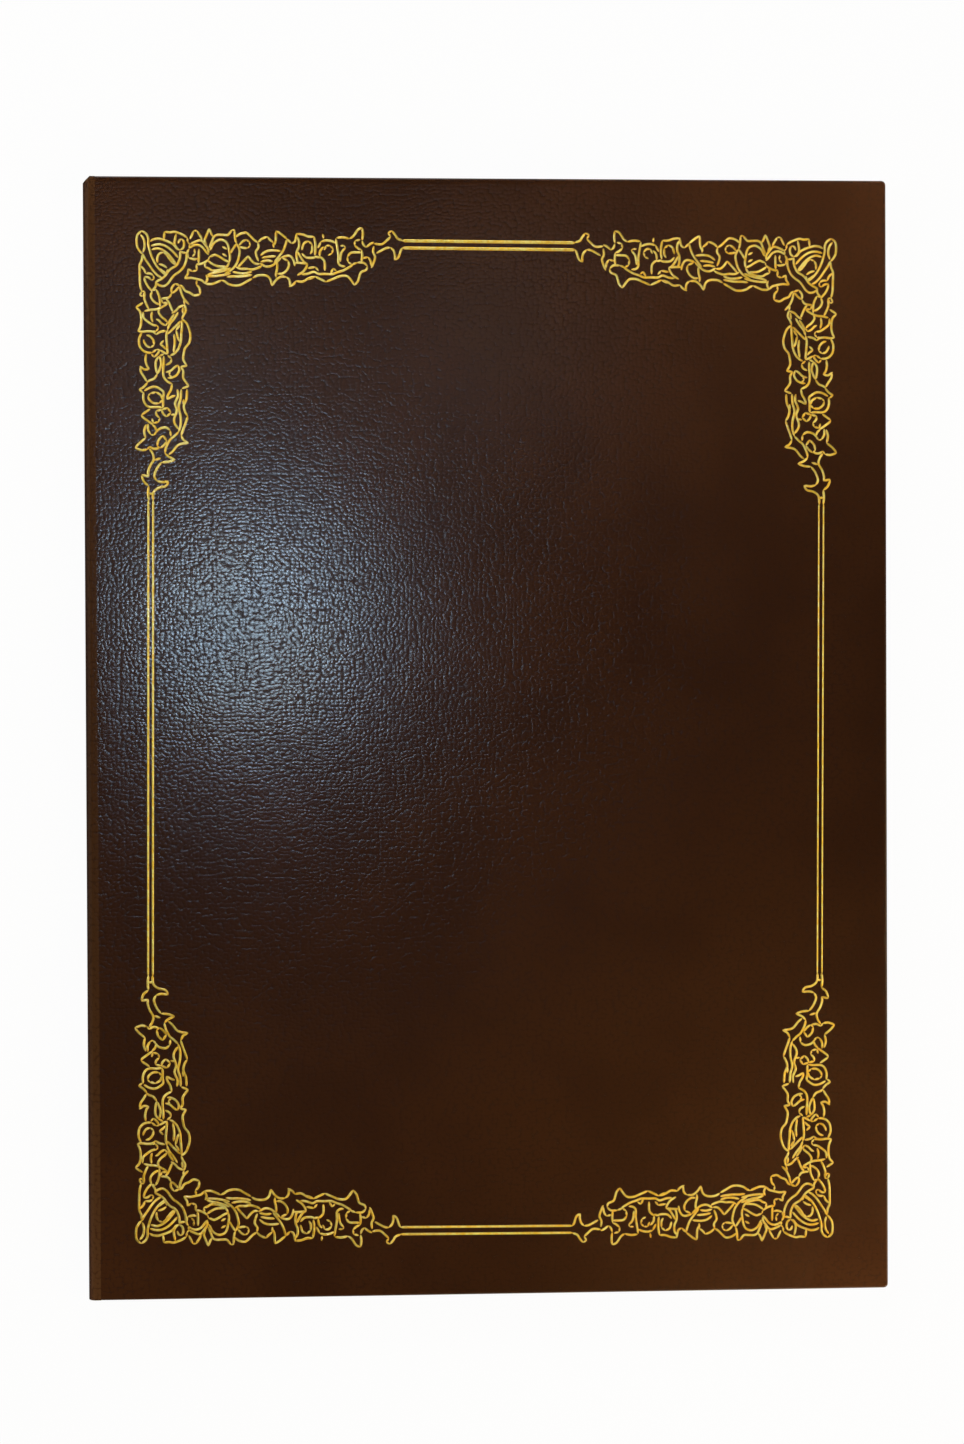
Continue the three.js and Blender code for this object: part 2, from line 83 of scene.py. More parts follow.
# %% Read the sizes of the construction
MM = 0.001
SPINE_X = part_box("spine_skin")[0].x
SPINE_LINING_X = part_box("spine_skin")[1].x
FORE_X, HEAD_Y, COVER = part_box("back_skin")[1]
FACE_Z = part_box("front_skin")[1].z
BOARD_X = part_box("back_board")[0].x
FOLD_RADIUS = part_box("back_crease")[1].x - SPINE_X
strip_low, strip_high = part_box("back_hinge_strip")
LEATHER = strip_high.z - strip_low.z
TURN_IN = strip_high.x - strip_low.x
MIDDLE_Z = FACE_Z / 2
for label, size in [("width", FORE_X - SPINE_X), ("length", 2 * HEAD_Y), ("thickness", FACE_Z)]:
    print(f"closed cover {label}: {size / MM:.1f} mm")

# %% [markdown]
# ## The camera
#
# The camera comes first. The holder lies on its back, so the camera looks almost straight down. It stands a
# little to the spine's side and leans a few degrees, which gives the slight lean of the tail edge. A longish
# lens keeps the edges near parallel.

# %% Place the camera
camera_data = bpy.data.cameras.new("photo_camera")
camera_data.lens = 71.6
camera = bpy.data.objects.new("photo_camera", camera_data)
camera.location = (-0.0479, 0.0145, 0.8054)
camera.rotation_euler = (-0.0125, -0.0576, -0.0041)
scene = bpy.context.scene
scene.collection.objects.link(camera)
scene.camera = camera
print("camera at", [round(x, 3) for x in camera.location], "with a lens of", camera_data.lens, "mm")

# %% [markdown]
# ## Shader maths in plain Python
#
# A finish is a small calculation done at every point of a surface. Written node by node it is hard to read,
# so a short class wraps one output of a node and lets Python's operators add the Math nodes. A second class
# holds the material, and its one method adds any other node: its kind, its settings, then its sockets.

# %% Wrap sockets and materials
class Wire:
    """One output of a shader node. An operator on it adds a Math node."""

    def __init__(self, finish, socket):
        self.finish = finish
        self.socket = socket

    def maths(self, operation, first, second):
        return self.finish.node("ShaderNodeMath", {"operation": operation}, {0: first, 1: second})

    def __add__(self, other):
        return self.maths("ADD", self, other)

    def __radd__(self, other):
        return self.maths("ADD", other, self)

    def __sub__(self, other):
        return self.maths("SUBTRACT", self, other)

    def __rsub__(self, other):
        return self.maths("SUBTRACT", other, self)

    def __mul__(self, other):
        return self.maths("MULTIPLY", self, other)

    def __rmul__(self, other):
        return self.maths("MULTIPLY", other, self)

    def __abs__(self):
        return self.maths("ABSOLUTE", self, 0.0)


class Finish:
    """A material that is built up node by node."""

    def __init__(self, name):
        self.material = bpy.data.materials.new(name)
        self.material.use_nodes = True
        self.tree = self.material.node_tree
        self.shader = self.tree.nodes["Principled BSDF"]

    def node(self, kind, settings=None, sockets=None, output=0):
        made = self.tree.nodes.new(kind)
        for name, value in (settings or {}).items():
            setattr(made, name, value)
        self.join(made, sockets or {})
        return Wire(self, made.outputs[output])

    def join(self, node, sockets):
        for name, value in sockets.items():
            if isinstance(value, Wire):
                self.tree.links.new(value.socket, node.inputs[name])
            else:
                node.inputs[name].default_value = value

    def surface(self, **sockets):
        self.join(self.shader, {name.replace("_", " "): value for name, value in sockets.items()})
        return self.material


# %% [markdown]
# ## Patterns that several finishes share
#
# Every pattern reads Object coordinates, which stay with the piece when a cover opens. They are turned into
# millimetres first, so that a scale of 1 means one feature for each millimetre of the real surface.

# %% Shared patterns
ACROSS = (0.92, 0.0, 0.75)
ALONG = (0.0, 1.08, 0.85)
NOISE_MIDDLE = (0.5, 0.5, 0.5)


def vectors(finish, operation, first, second, output=0):
    return finish.node("ShaderNodeVectorMath", {"operation": operation}, {0: first, 1: second}, output)


def part_of(finish, where, axis):
    return finish.node("ShaderNodeSeparateXYZ", sockets={0: where}, output=axis)


def millimetres(finish, stretch=(1, 1, 1)):
    place = finish.node("ShaderNodeTexCoord", output="Object")
    return vectors(finish, "MULTIPLY", place, [factor / MM for factor in stretch])


def cloud(finish, where, scale, detail=2.0, roughness=0.5, output="Fac"):
    sockets = {"Vector": where, "Scale": scale, "Detail": detail, "Roughness": roughness}
    return finish.node("ShaderNodeTexNoise", sockets=sockets, output=output)


def swayed(finish, where, scale, reach):
    """The coordinates pushed about by a soft noise, up to about reach millimetres."""
    drift = cloud(finish, where, scale, output="Color")
    centred = vectors(finish, "SUBTRACT", drift, NOISE_MIDDLE)
    pushed = vectors(finish, "MULTIPLY", centred, [2 * reach] * 3)
    return vectors(finish, "ADD", where, pushed)


def unrolled(finish, where):
    """Flat coordinates in which a pattern also runs down the edges of a sheet, without streaks."""
    across = vectors(finish, "DOT_PRODUCT", where, ACROSS, "Value")
    along = vectors(finish, "DOT_PRODUCT", where, ALONG, "Value")
    return finish.node("ShaderNodeCombineXYZ", sockets={"X": across, "Y": along})


def remap(finish, value, low, high, to_low=0.0, to_high=1.0):
    settings = {"interpolation_type": "SMOOTHSTEP"}
    return finish.node("ShaderNodeMapRange", settings, {0: value, 1: low, 2: high, 3: to_low, 4: to_high})


def mixed(finish, factor, first, second):
    return finish.node("ShaderNodeMix", {"data_type": "RGBA"}, {0: factor, 6: first, 7: second}, output=2)


def bumped(finish, height, depth):
    return finish.node("ShaderNodeBump", sockets={"Height": height, "Distance": depth})


# %% [markdown]
# ## Leatherette
#
# Bookbinder's leatherette is paper or cloth with a coloured coating, pressed with a fine pebble grain. The
# pebbles are about a millimetre across and stand in rows that wander. Each is a cell of a Voronoi pattern:
# the distance from its middle gives a low dome, and the valley round it gets a painted shade, a darker
# colour.
# The coating is smooth, so a lamp shows as a soft highlight that breaks up on the pebbles. It is duller on
# the edges and at a slant. The leatherette of the folds is lighter along the top of each bend, partly from
# wear and partly as a painted highlight where the light falls.

# %% Make the leatherette
LEATHER_BROWN = (0.0255, 0.0087, 0.0029, 1)
LEATHER_VALLEY_SHADE = (0.018, 0.0061, 0.002, 1)
LEATHER_WARM = (0.032, 0.0111, 0.0036, 1)
LEATHER_RUBBED_AND_LIT = (0.049, 0.021, 0.008, 1)
PEBBLES_PER_MM = 0.9
PEBBLE_SCATTER = 0.7
PEBBLE_DEPTH = 0.04 * MM
ROW_BENDS_PER_MM = 0.16
ROW_SWAY = 1.1
COATING_ROUGHNESS = 0.15
VALLEY_DULLER, EDGE_DULLER, SLANT_DULLER = 0.12, 0.3, 0.5


def make_leatherette(name, rubbed_and_lit, gloss):
    """The leatherette. On a fold it is lighter and duller where it bends; the lighter colour is partly wear,
    partly painted highlight.
    """
    finish = Finish(name)
    place = millimetres(finish)
    rows = swayed(finish, unrolled(finish, place), ROW_BENDS_PER_MM, ROW_SWAY)
    cells = {"Vector": rows, "Scale": PEBBLES_PER_MM, "Randomness": PEBBLE_SCATTER}
    reach = finish.node("ShaderNodeTexVoronoi", {"feature": "F1", "voronoi_dimensions": "2D"}, cells)
    valley = remap(finish, reach, 0.4, 0.75)
    fine = cloud(finish, place, 4.5, detail=3.0)
    broad = cloud(finish, place, 0.035)
    height = fine * 0.1 + broad * 1.5 - reach * reach
    warm = mixed(finish, remap(finish, broad, 0.35, 0.65), LEATHER_BROWN, LEATHER_WARM)
    # Painted shade: the valleys between the pebbles are darker, with a fine cloud of random tone mixed in.
    colour = mixed(finish, valley * 0.7 + fine * 0.3, warm, LEATHER_VALLEY_SHADE)
    middle = MIDDLE_Z / MM
    off_middle = abs(part_of(finish, place, "Z") - middle)
    edge = 1 - remap(finish, off_middle, middle - 0.1, middle - 0.02)
    # The fold's lighter band on the top of its bend: partly wear, partly a painted highlight where light
    # falls.
    if rubbed_and_lit:
        rub_and_highlight = remap(finish, off_middle, middle - 0.6, middle - 0.25) * (1 - valley * 0.6)
        colour = mixed(finish, rub_and_highlight, colour, LEATHER_RUBBED_AND_LIT)
    facing = finish.node("ShaderNodeLayerWeight", sockets={"Blend": 0.5}, output="Facing")
    slant = remap(finish, facing, 0.2, 0.75)
    rough = COATING_ROUGHNESS + (fine - 0.5) * 0.05 + valley * VALLEY_DULLER
    rough = rough + edge * EDGE_DULLER + slant * SLANT_DULLER
    return finish.surface(
        Base_Color=colour,
        Roughness=rough,
        Normal=bumped(finish, height, PEBBLE_DEPTH),
        Specular_IOR_Level=gloss,
    )


leatherette = make_leatherette("brown_leatherette", rubbed_and_lit=False, gloss=0.25)
fold_leatherette = make_leatherette("folded_leatherette", rubbed_and_lit=True, gloss=0.06)
for made in (leatherette, fold_leatherette):
    print("finish:", made.name)

# %% [markdown]
# ## Gold foil
#
# The border is hot-stamped: a heated die presses a metallic foil into the grain. The gold takes a little of
# the grain with it, so it runs between a pale and a deep gold on the crown of each line. Each line is lower
# at its edges, and there its colour gets a painted shade, darker and more orange. A clear coat gives it a
# second, sharper gloss.

# %% Make the foil
GOLD_PALE = (1.0, 0.86, 0.23, 1)
GOLD_DEEP = (1.0, 0.63, 0.05, 1)
GOLD_FLANK_SHADE = (0.66, 0.31, 0.012, 1)
FOIL_HEIGHT = 0.11 * MM
FOIL_GRAIN_DEPTH = 0.16 * MM
FOIL_ROUGHNESS, FOIL_WEAR = 0.36, 0.16


def make_gold_foil():
    finish = Finish("gold_foil")
    where = millimetres(finish)
    patches = cloud(finish, where, 0.45, detail=3.0)
    grain = cloud(finish, where, 1.3)
    crown = mixed(finish, remap(finish, patches * 0.6 + grain * 0.4, 0.38, 0.62), GOLD_DEEP, GOLD_PALE)
    # Painted shade: towards the low edges of each line the gold turns darker and more orange.
    level = (part_of(finish, where, "Z") - FACE_Z / MM) * (MM / FOIL_HEIGHT)
    colour = mixed(finish, remap(finish, level, 0.1, 0.75), GOLD_FLANK_SHADE, crown)
    rough = FOIL_ROUGHNESS + remap(finish, grain, 0.35, 0.7) * FOIL_WEAR
    return finish.surface(
        Base_Color=colour,
        Metallic=1.0,
        Roughness=rough,
        Normal=bumped(finish, grain, FOIL_GRAIN_DEPTH),
        Coat_Weight=0.8,
        Coat_Roughness=0.12,
    )


gold_foil = make_gold_foil()
print("finish:", gold_foil.name)

# %% [markdown]
# ## Lining, ribbon, clear sheet and board
#
# The inside is lined with watered paper, called moire: an ivory paper with wandering bands where the press
# has flattened its ribs. The ribbons are satin, whose long threads run the length of the ribbon, so their
# pattern follows the ribbon's own UV map; its light and dark streaks are partly the threads' tone and partly
# a painted sheen. The clear sheet is acetate. The board is grey pulp with flecks.

# %% Make the inside finishes
RIBBON_WIDTH = 14 * MM
IVORY = (0.82, 0.77, 0.65, 1)
IVORY_SHADE = (0.745, 0.69, 0.56, 1)
SATIN = (0.62, 0.47, 0.2, 1)
SATIN_DARK_STREAK = (0.42, 0.3, 0.11, 1)
ACETATE_TINT = (0.9, 0.93, 0.95, 1)
ACETATE_ALPHA = 0.14
BOARD_GREY = (0.27, 0.25, 0.22, 1)
BOARD_FLECK = (0.16, 0.14, 0.12, 1)
INFILL = (0.72, 0.66, 0.54, 1)
INFILL_FLECK = (0.6, 0.53, 0.41, 1)
MOIRE_STRETCH = (1.0, 0.16, 1.0)
MOIRE_SWAY = 9.0
THREAD_STRETCH = (9.0, 0.35, 1.0)
SCUFF_STRETCH = (0.15, 1.0, 1.0)
PAPER_DEPTH, THREAD_DEPTH, PULP_DEPTH = 0.03 * MM, 0.04 * MM, 0.05 * MM


def make_moire():
    finish = Finish("moire_paper")
    where = millimetres(finish)
    slow = swayed(finish, millimetres(finish, MOIRE_STRETCH), 0.07, MOIRE_SWAY)
    bands = finish.node("ShaderNodeTexWave", {"bands_direction": "X"}, {"Vector": slow, "Scale": 0.075})
    ribs = finish.node("ShaderNodeTexWave", {"bands_direction": "Y"}, {"Vector": where, "Scale": 0.62})
    pulp = cloud(finish, where, 2.5, detail=4.0)
    tone = bands * 0.75 + pulp * 0.25
    colour = mixed(finish, tone, IVORY_SHADE, IVORY)
    rough = 0.62 - tone * 0.22
    height = ribs * (1 - tone * 0.7) + pulp * 0.4
    return finish.surface(Base_Color=colour, Roughness=rough, Normal=bumped(finish, height, PAPER_DEPTH))


def make_satin():
    finish = Finish("satin_ribbon")
    along = finish.node("ShaderNodeTexCoord", output="UV")
    threads = cloud(finish, vectors(finish, "MULTIPLY", along, THREAD_STRETCH), 1.0, detail=3.0)
    half = RIBBON_WIDTH / MM / 2
    off_middle = abs(part_of(finish, along, "X") - half)
    selvedge = remap(finish, off_middle, half - 1.0, half - 0.6)
    # Streaks along the threads: partly the threads' own tone, partly a painted sheen. The woven selvedges are
    # darker.
    tone = remap(finish, threads, 0.3, 0.7) * (1 - selvedge * 0.6)
    colour = mixed(finish, tone, SATIN_DARK_STREAK, SATIN)
    rough = 0.5 - tone * 0.18 + selvedge * 0.15
    height = threads + selvedge * 0.8
    return finish.surface(
        Base_Color=colour, Roughness=rough, Normal=bumped(finish, height, THREAD_DEPTH), Sheen_Weight=0.25
    )


def make_acetate():
    finish = Finish("clear_acetate")
    scuffs = cloud(finish, millimetres(finish, SCUFF_STRETCH), 0.5, detail=4.0)
    rough = remap(finish, scuffs, 0.4, 0.75, 0.2, 0.34)
    alpha = ACETATE_ALPHA + (scuffs - 0.5) * 0.05
    return finish.surface(Base_Color=ACETATE_TINT, Roughness=rough, Alpha=alpha)


def make_pulp(name, plain, fleck, fleck_size):
    finish = Finish(name)
    where = millimetres(finish)
    fibres = cloud(finish, where, 1.0 / fleck_size, detail=5.0, roughness=0.7)
    colour = mixed(finish, remap(finish, fibres, 0.36, 0.6), fleck, plain)
    rough = 0.95 - fibres * 0.1
    return finish.surface(Base_Color=colour, Roughness=rough, Normal=bumped(finish, fibres, PULP_DEPTH))


moire_paper = make_moire()
satin = make_satin()
acetate = make_acetate()
grey_board = make_pulp("grey_board", BOARD_GREY, BOARD_FLECK, 1.4)
infill_paper = make_pulp("infill_paper", INFILL, INFILL_FLECK, 0.9)
for made in (moire_paper, satin, acetate, grey_board, infill_paper):
    print("finish:", made.name)

# %% [markdown]
# ## From points to a piece
#
# Most pieces here are thin sheets with a known section, so their points come straight from the sizes. One
# helper makes the mesh: it merges points that meet, turns the faces outwards, and keeps an edge sharp only
# where its two faces meet at a steep angle. The object stays at the origin, with its place in its mesh, and
# its size is printed.

# %% Make a mesh piece
MERGE = 0.0005 * MM
SHARP = math.radians(42)


def make_piece(name, points, faces, finish):
    form = bmesh.new()
    corners = [form.verts.new(point) for point in points]
    for face in faces:
        form.faces.new([corners[i] for i in face])
    bmesh.ops.remove_doubles(form, verts=form.verts, dist=MERGE)
    bmesh.ops.recalc_face_normals(form, faces=form.faces)
    for face in form.faces:
        face.smooth = True
    for edge in form.edges:
        edge.smooth = len(edge.link_faces) == 2 and edge.calc_face_angle() < SHARP
    mesh = bpy.data.meshes.new(name)
    form.to_mesh(mesh)
    form.free()
    mesh.materials.append(finish)
    made = bpy.data.objects.new(name, mesh)
    scene.collection.objects.link(made)
    report(made)
    return made


def report(made):
    points = [v.co for v in made.data.vertices]
    size = [round((max(axis) - min(axis)) / MM, 2) for axis in zip(*points)]
    print(made.name, "with", len(made.data.polygons), "faces,", size, "mm")


def rings_to_faces(rings, count, closed=False):
    """Quads between rings of count points that lie one after another. A closed ring also joins its ends."""
    quads = []
    for ring in range(rings - 1):
        for i in range(count if closed else count - 1):
            a, b = ring * count + i, ring * count + (i + 1) % count
            quads.append((a, b, b + count, a + count))
    return quads


def strip_end(start, count):
    """Quads that close the end of a folded strip, whose ring runs along one face and back along the other."""
    last = start + count - 1
    return [(start + i, start + i + 1, last - i - 1, last - i) for i in range(count // 2 - 1)]


def turned_over(depth):
    """The height of a point this deep in the front cover, which lies face up."""
    return FACE_Z - depth


def as_it_lies(depth):
    """The height of a point this deep in the back cover, which lies face down."""
    return depth


# %% [markdown]
# ## The leatherette on the two covers
#
# Each board has one sheet of leatherette drawn over it. The sheet runs round three edges and is turned in on
# the inside, with a mitre at each corner. A boolean or a modifier could round a slab, but the turn-ins would
# be lost, so the sheet is drawn as rings: each ring follows the cover's outline at one inset and one depth,
# from the outer face, round the edge, along the turn-in, and back along the underside of the sheet.

# %% Wrap the covers
EDGE_ROUND = 0.55 * MM
CORNER_ROUND = 1.2 * MM
MITRE_ROUND = 0.35 * MM
MITRE_DEPTH = 0.12 * MM
LEVEL_BAND = 2.0 * MM
EDGE_STEPS = 5
CORNER_STEPS = 5


def quarter(steps):
    return [math.radians(90 * i / steps) for i in range(steps + 1)]


def cover_outline(inset):
    """The outline of a cover at this inset, from the head at the spine round the fore edge to the tail."""
    radius = max(CORNER_ROUND - inset, MITRE_ROUND)
    x, y = FORE_X - inset - radius, HEAD_Y - inset - radius
    head = [(BOARD_X, HEAD_Y - inset)]
    head += [(x + radius * math.sin(a), y + radius * math.cos(a)) for a in quarter(CORNER_STEPS)]
    return head + [(px, -py) for px, py in reversed(head)]


def wrap_section():
    """Inset and depth of each ring, from the outer face to the underside of the sheet."""
    r, t = EDGE_ROUND, LEATHER
    inner = r - t
    outside = [(LEVEL_BAND, 0)]
    outside += [(r - r * math.sin(a), r - r * math.cos(a)) for a in quarter(EDGE_STEPS)]
    outside += [(r - r * math.cos(a), COVER - r + r * math.sin(a)) for a in quarter(EDGE_STEPS)]
    outside += [(LEVEL_BAND, COVER), (TURN_IN - t / 2, COVER)]
    outside += [(TURN_IN, COVER - t / 2), (TURN_IN, COVER - t)]
    inside = [(r - inner * math.cos(a), COVER - r + inner * math.sin(a)) for a in quarter(EDGE_STEPS)]
    roof = [(r - inner * math.sin(a), r - inner * math.cos(a)) for a in quarter(EDGE_STEPS)]
    return outside + inside[::-1] + roof[::-1] + [(LEVEL_BAND, t)]


def wrap_cover(name, height):
    section = wrap_section()
    points = []
    for inset, depth in section:
        turned_in = depth == COVER and inset >= LEVEL_BAND
        for i, (x, y) in enumerate(cover_outline(inset)):
            at_corner = x > FORE_X - inset - MITRE_ROUND
            between_edges = i % (CORNER_STEPS + 2) not in (0, 1, CORNER_STEPS + 1)
            sunk = MITRE_DEPTH if turned_in and at_corner and between_edges else 0
            points.append((x, y, height(depth - sunk)))
    count = len(cover_outline(0))
    rings = len(section)
    faces = rings_to_faces(rings, count)
    faces.append(list(range(count)))
    faces.append(list(range((rings - 1) * count, rings * count)))
    starts = [ring * count for ring in range(rings)]
    faces.append(starts + [start + count - 1 for start in reversed(starts)])
    return make_piece(name, points, faces, leatherette)


front_leather = wrap_cover("front_leather", turned_over)
back_leather = wrap_cover("back_leather", as_it_lies)

# %% [markdown]
# ## The folds and the spine
#
# Between the covers the same leatherette runs round the spine. It is the hinge: the sheet bends where it
# leaves each board. Each fold strip starts flush with its cover, turns a quarter round and covers half of the
# spine. At the head, the binder has pressed the end of the fold in, so the corner there is cut off at a
# slant.
# The ends of the sheet grow thinner over their last fifth of a millimetre, which takes off their hard edges.

# %% Fold the leatherette round the spine
FOLD_STEPS = 12
HEAD_SLANT = 0.85
SHEET_END = [(0.0, 0.3), (0.06 * MM, 0.7), (0.2 * MM, 1.0), (1.5 * MM, 1.0)]
SPINE_HOLD = 0.55 * MM


def fold_section():
    """Pairs of outer and inner points (x, depth) from the edge of the cover to the middle of the spine."""
    r, t = FOLD_RADIUS, LEATHER
    x = SPINE_X + r
    flat = [((BOARD_X, 0), (BOARD_X, t))]
    bend = [
        ((x - r * math.sin(a), r - r * math.cos(a)), (x - (r - t) * math.sin(a), r - (r - t) * math.cos(a)))
        for a in quarter(FOLD_STEPS)
    ]
    return flat + bend + [((SPINE_X, MIDDLE_Z), (SPINE_X + t, MIDDLE_Z))]


def fold_row(section, end, set_in, fullness, height):
    """A closed row of the strip near its tail (end -1) or head (end 1): its outside, then back inside."""
    outer, inner = [], []
    for (ox, od), (ix, iz) in section:
        slant = HEAD_SLANT * max(0.0, SPINE_X + FOLD_RADIUS - ox) if end > 0 else 0.0
        y = end * (HEAD_Y - slant - set_in)
        mx, mz = (ox + ix) / 2, (od + iz) / 2
        outer.append((mx + (ox - mx) * fullness, y, height(mz + (od - mz) * fullness)))
        inner.append((mx + (ix - mx) * fullness, y, height(mz + (iz - mz) * fullness)))
    return outer + inner[::-1]


def fold_cover(name, height):
    section = fold_section()
    rows = [fold_row(section, -1, set_in, full, height) for set_in, full in SHEET_END]
    rows += [fold_row(section, 1, set_in, full, height) for set_in, full in reversed(SHEET_END)]
    count = len(rows[0])
    points = [point for row in rows for point in row]
    faces = rings_to_faces(len(rows), count, closed=True)
    faces += strip_end(0, count) + strip_end(len(points) - count, count)
    return make_piece(name, points, faces, fold_leatherette)


front_fold = fold_cover("front_fold_leather", turned_over)
back_fold = fold_cover("back_fold_leather", as_it_lies)

# %% [markdown]
# The spine is stiffened by a card, wrapped at head and tail. It shows only at the ends and inside, as a
# narrow block behind the fold strips, so it is made as a box with rounded edges.

# %% Fill the spine
BOX_STEPS = 3


def rounded_box(name, low, high, radius, finish):
    form = bmesh.new()
    bmesh.ops.create_cube(form, size=1.0)
    low, high = Vector(low), Vector(high)
    for vert in form.verts:
        vert.co = Vector([(low[i] + high[i]) / 2 + vert.co[i] * (high[i] - low[i]) for i in range(3)])
    rounding = {"offset": radius, "segments": BOX_STEPS, "profile": 0.5}
    bmesh.ops.bevel(form, geom=form.edges[:], affect="EDGES", clamp_overlap=True, **rounding)
    corners = [tuple(v.co) for v in form.verts]
    form.verts.index_update()
    faces = [[v.index for v in face.verts] for face in form.faces]
    form.free()
    return make_piece(name, corners, faces, finish)


END_SET_IN = 0.4 * MM
CORE_GAP = 0.15 * MM
CORE_ROUND = 0.3 * MM
LINING_LEATHER = 0.25 * MM
head_set_in = HEAD_SLANT * FOLD_RADIUS + END_SET_IN
spine_core = rounded_box(
    "spine_core",
    (SPINE_X + LEATHER, END_SET_IN - HEAD_Y, FOLD_RADIUS + CORE_GAP),
    (SPINE_LINING_X - LINING_LEATHER, HEAD_Y - head_set_in, FACE_Z - FOLD_RADIUS - CORE_GAP),
    CORE_ROUND,
    leatherette,
)

# %% [markdown]
# ## The inner hinge strips
#
# Inside, a strip of thinner leatherette covers the raw board edges and the spine. When the cover is closed
# it dips into the groove between board and spine, which gives it the length to lie flat when the cover is
# open. Each half is a sheet with a drawn section.

# %% Line the hinges
GROOVE_DEPTH = 1.0 * MM
STRIP_RISE = 0.03 * MM
STRIP_SET_IN = 0.5 * MM
STRIP_END = HEAD_Y - STRIP_SET_IN
GROOVE_STEPS = 8
LIP = 0.45 * MM
LIP_STEPS = 4
LINING_BACK = 0.9 * LINING_LEATHER


def hinge_line():
    """The lining's face (x, depth), from its edge on the board over the groove to the spine's middle."""
    top = COVER + STRIP_RISE
    board_side = BOARD_X - LINING_LEATHER
    spine_side = SPINE_LINING_X + LINING_LEATHER
    centre = (board_side + spine_side) / 2
    half = (board_side - spine_side) / 2
    floor = GROOVE_DEPTH + half
    line = [(BOARD_X + TURN_IN, top)]
    for a in quarter(LIP_STEPS):
        line.append((board_side + LIP - LIP * math.sin(a), top - LIP + LIP * math.cos(a)))
    turns = [math.pi * i / GROOVE_STEPS for i in range(GROOVE_STEPS + 1)]
    line += [(centre + half * math.cos(a), floor - half * math.sin(a)) for a in turns]
    return line + [(spine_side, top - LIP), (SPINE_LINING_X, top + LIP), (SPINE_LINING_X, MIDDLE_Z)]


def thickened(line, thickness):
    """The same line moved to its right-hand side by the thickness, for the back of a sheet."""
    moved = []
    for i, (x, d) in enumerate(line):
        (ax, ad), (bx, bd) = line[max(i - 1, 0)], line[min(i + 1, len(line) - 1)]
        run = math.hypot(bx - ax, bd - ad)
        moved.append((x - thickness * (bd - ad) / run, d + thickness * (bx - ax) / run))
    return moved


def line_hinge(name, height):
    face = hinge_line()
    back = thickened(face, LINING_BACK)
    count = 2 * len(face)
    head_end = HEAD_Y - head_set_in
    points = []
    for head in (False, True):
        for x, d in face + back[::-1]:
            limit = STRIP_END if x > BOARD_X - LINING_LEATHER else min(STRIP_END, head_end)
            points.append((x, limit if head else -STRIP_END, height(d)))
    faces = rings_to_faces(2, count, closed=True) + strip_end(0, count) + strip_end(count, count)
    return make_piece(name, points, faces, leatherette)


front_hinge = line_hinge("front_hinge_lining", turned_over)
back_hinge = line_hinge("back_hinge_lining", as_it_lies)

# %% [markdown]
# ## Linings, mount card and clear sheet
#
# The front cover is lined with moire paper, and the mount card that carries the certificate is covered with
# the same paper. Both are panels with softened edges and slightly rounded corners, and so is the clear
# sheet. The panel is drawn as rings, like the covers, because a bevel on so thin a box leaves long slivers.

# %% Line the inside
CARD_CORNER, SHEET_CORNER = 1.5 * MM, 3.0 * MM
LINING_EDGE, CARD_EDGE, SHEET_EDGE = 0.1 * MM, 0.2 * MM, 0.04 * MM
QUADRANTS = [(1, 1), (-1, 1), (-1, -1), (1, -1)]


def panel(name, low, high, corner, edge, finish):
    """A thin panel with rounded corners in plan and softened edges."""
    rings = [(edge, low[2]), (0, low[2] + edge), (0, high[2] - edge), (edge, high[2])]
    rings = [(3 * edge, low[2])] + rings + [(3 * edge, high[2])]
    points = []
    for inset, z in rings:
        radius = corner - inset
        for quadrant, (sx, sy) in enumerate(QUADRANTS):
            cx = (high[0] - corner) if sx > 0 else (low[0] + corner)
            cy = (high[1] - corner) if sy > 0 else (low[1] + corner)
            for a in quarter(CORNER_STEPS):
                turn = a + quadrant * math.pi / 2
                points.append((cx + radius * math.cos(turn), cy + radius * math.sin(turn), z))
    count = 4 * (CORNER_STEPS + 1)
    faces = rings_to_faces(len(rings), count, closed=True)
    faces.append(list(range(count)))
    faces.append(list(range((len(rings) - 1) * count, len(rings) * count)))
    return make_piece(name, points, faces, finish)


front_lining = panel("front_lining_paper", *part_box("front_lining"), CARD_CORNER, LINING_EDGE, moire_paper)
mount_panel = panel("mount_panel", *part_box("mount_card"), CARD_CORNER, CARD_EDGE, moire_paper)
clear_sheet = panel("clear_sheet", *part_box("acetate_sheet"), SHEET_CORNER, SHEET_EDGE, acetate)

# %% [markdown]
# ## Corner ribbons
#
# Each corner of the certificate slips under a satin ribbon that runs across the corner, over the edges of
# the mount card, and is glued underneath. The ribbon is a strip of long columns of points. Each column
# starts under the card, climbs its edge, crosses the corner at 45 degrees and goes down again.

# %% Stretch the ribbons
RIBBON = 0.22 * MM
RIBBON_COLUMNS = 14
STRAP_STEPS = 24
STRAP_RISE = 7 * MM
MOUNT_LOW, MOUNT_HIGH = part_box("mount_card")
ribbon_low, ribbon_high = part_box("ribbon_head_spine")
RIBBON_FAR = ribbon_high.x - MOUNT_LOW.x
RIBBON_NEAR = RIBBON_FAR - RIBBON_WIDTH * math.sqrt(2)
RIBBON_TAIL = 12 * MM
STRAP_Z = ribbon_high.z - RIBBON
TAIL_Z = ribbon_low.z + RIBBON / 2
EDGE_OUT = MOUNT_LOW.x - ribbon_low.x - RIBBON / 2
CORNERS = {"head_spine": (-1, 1), "head_fore": (1, 1), "tail_spine": (-1, -1), "tail_fore": (1, -1)}


def eased(share):
    share = min(max(share, 0.0), 1.0)
    return share * share * (3 - 2 * share)


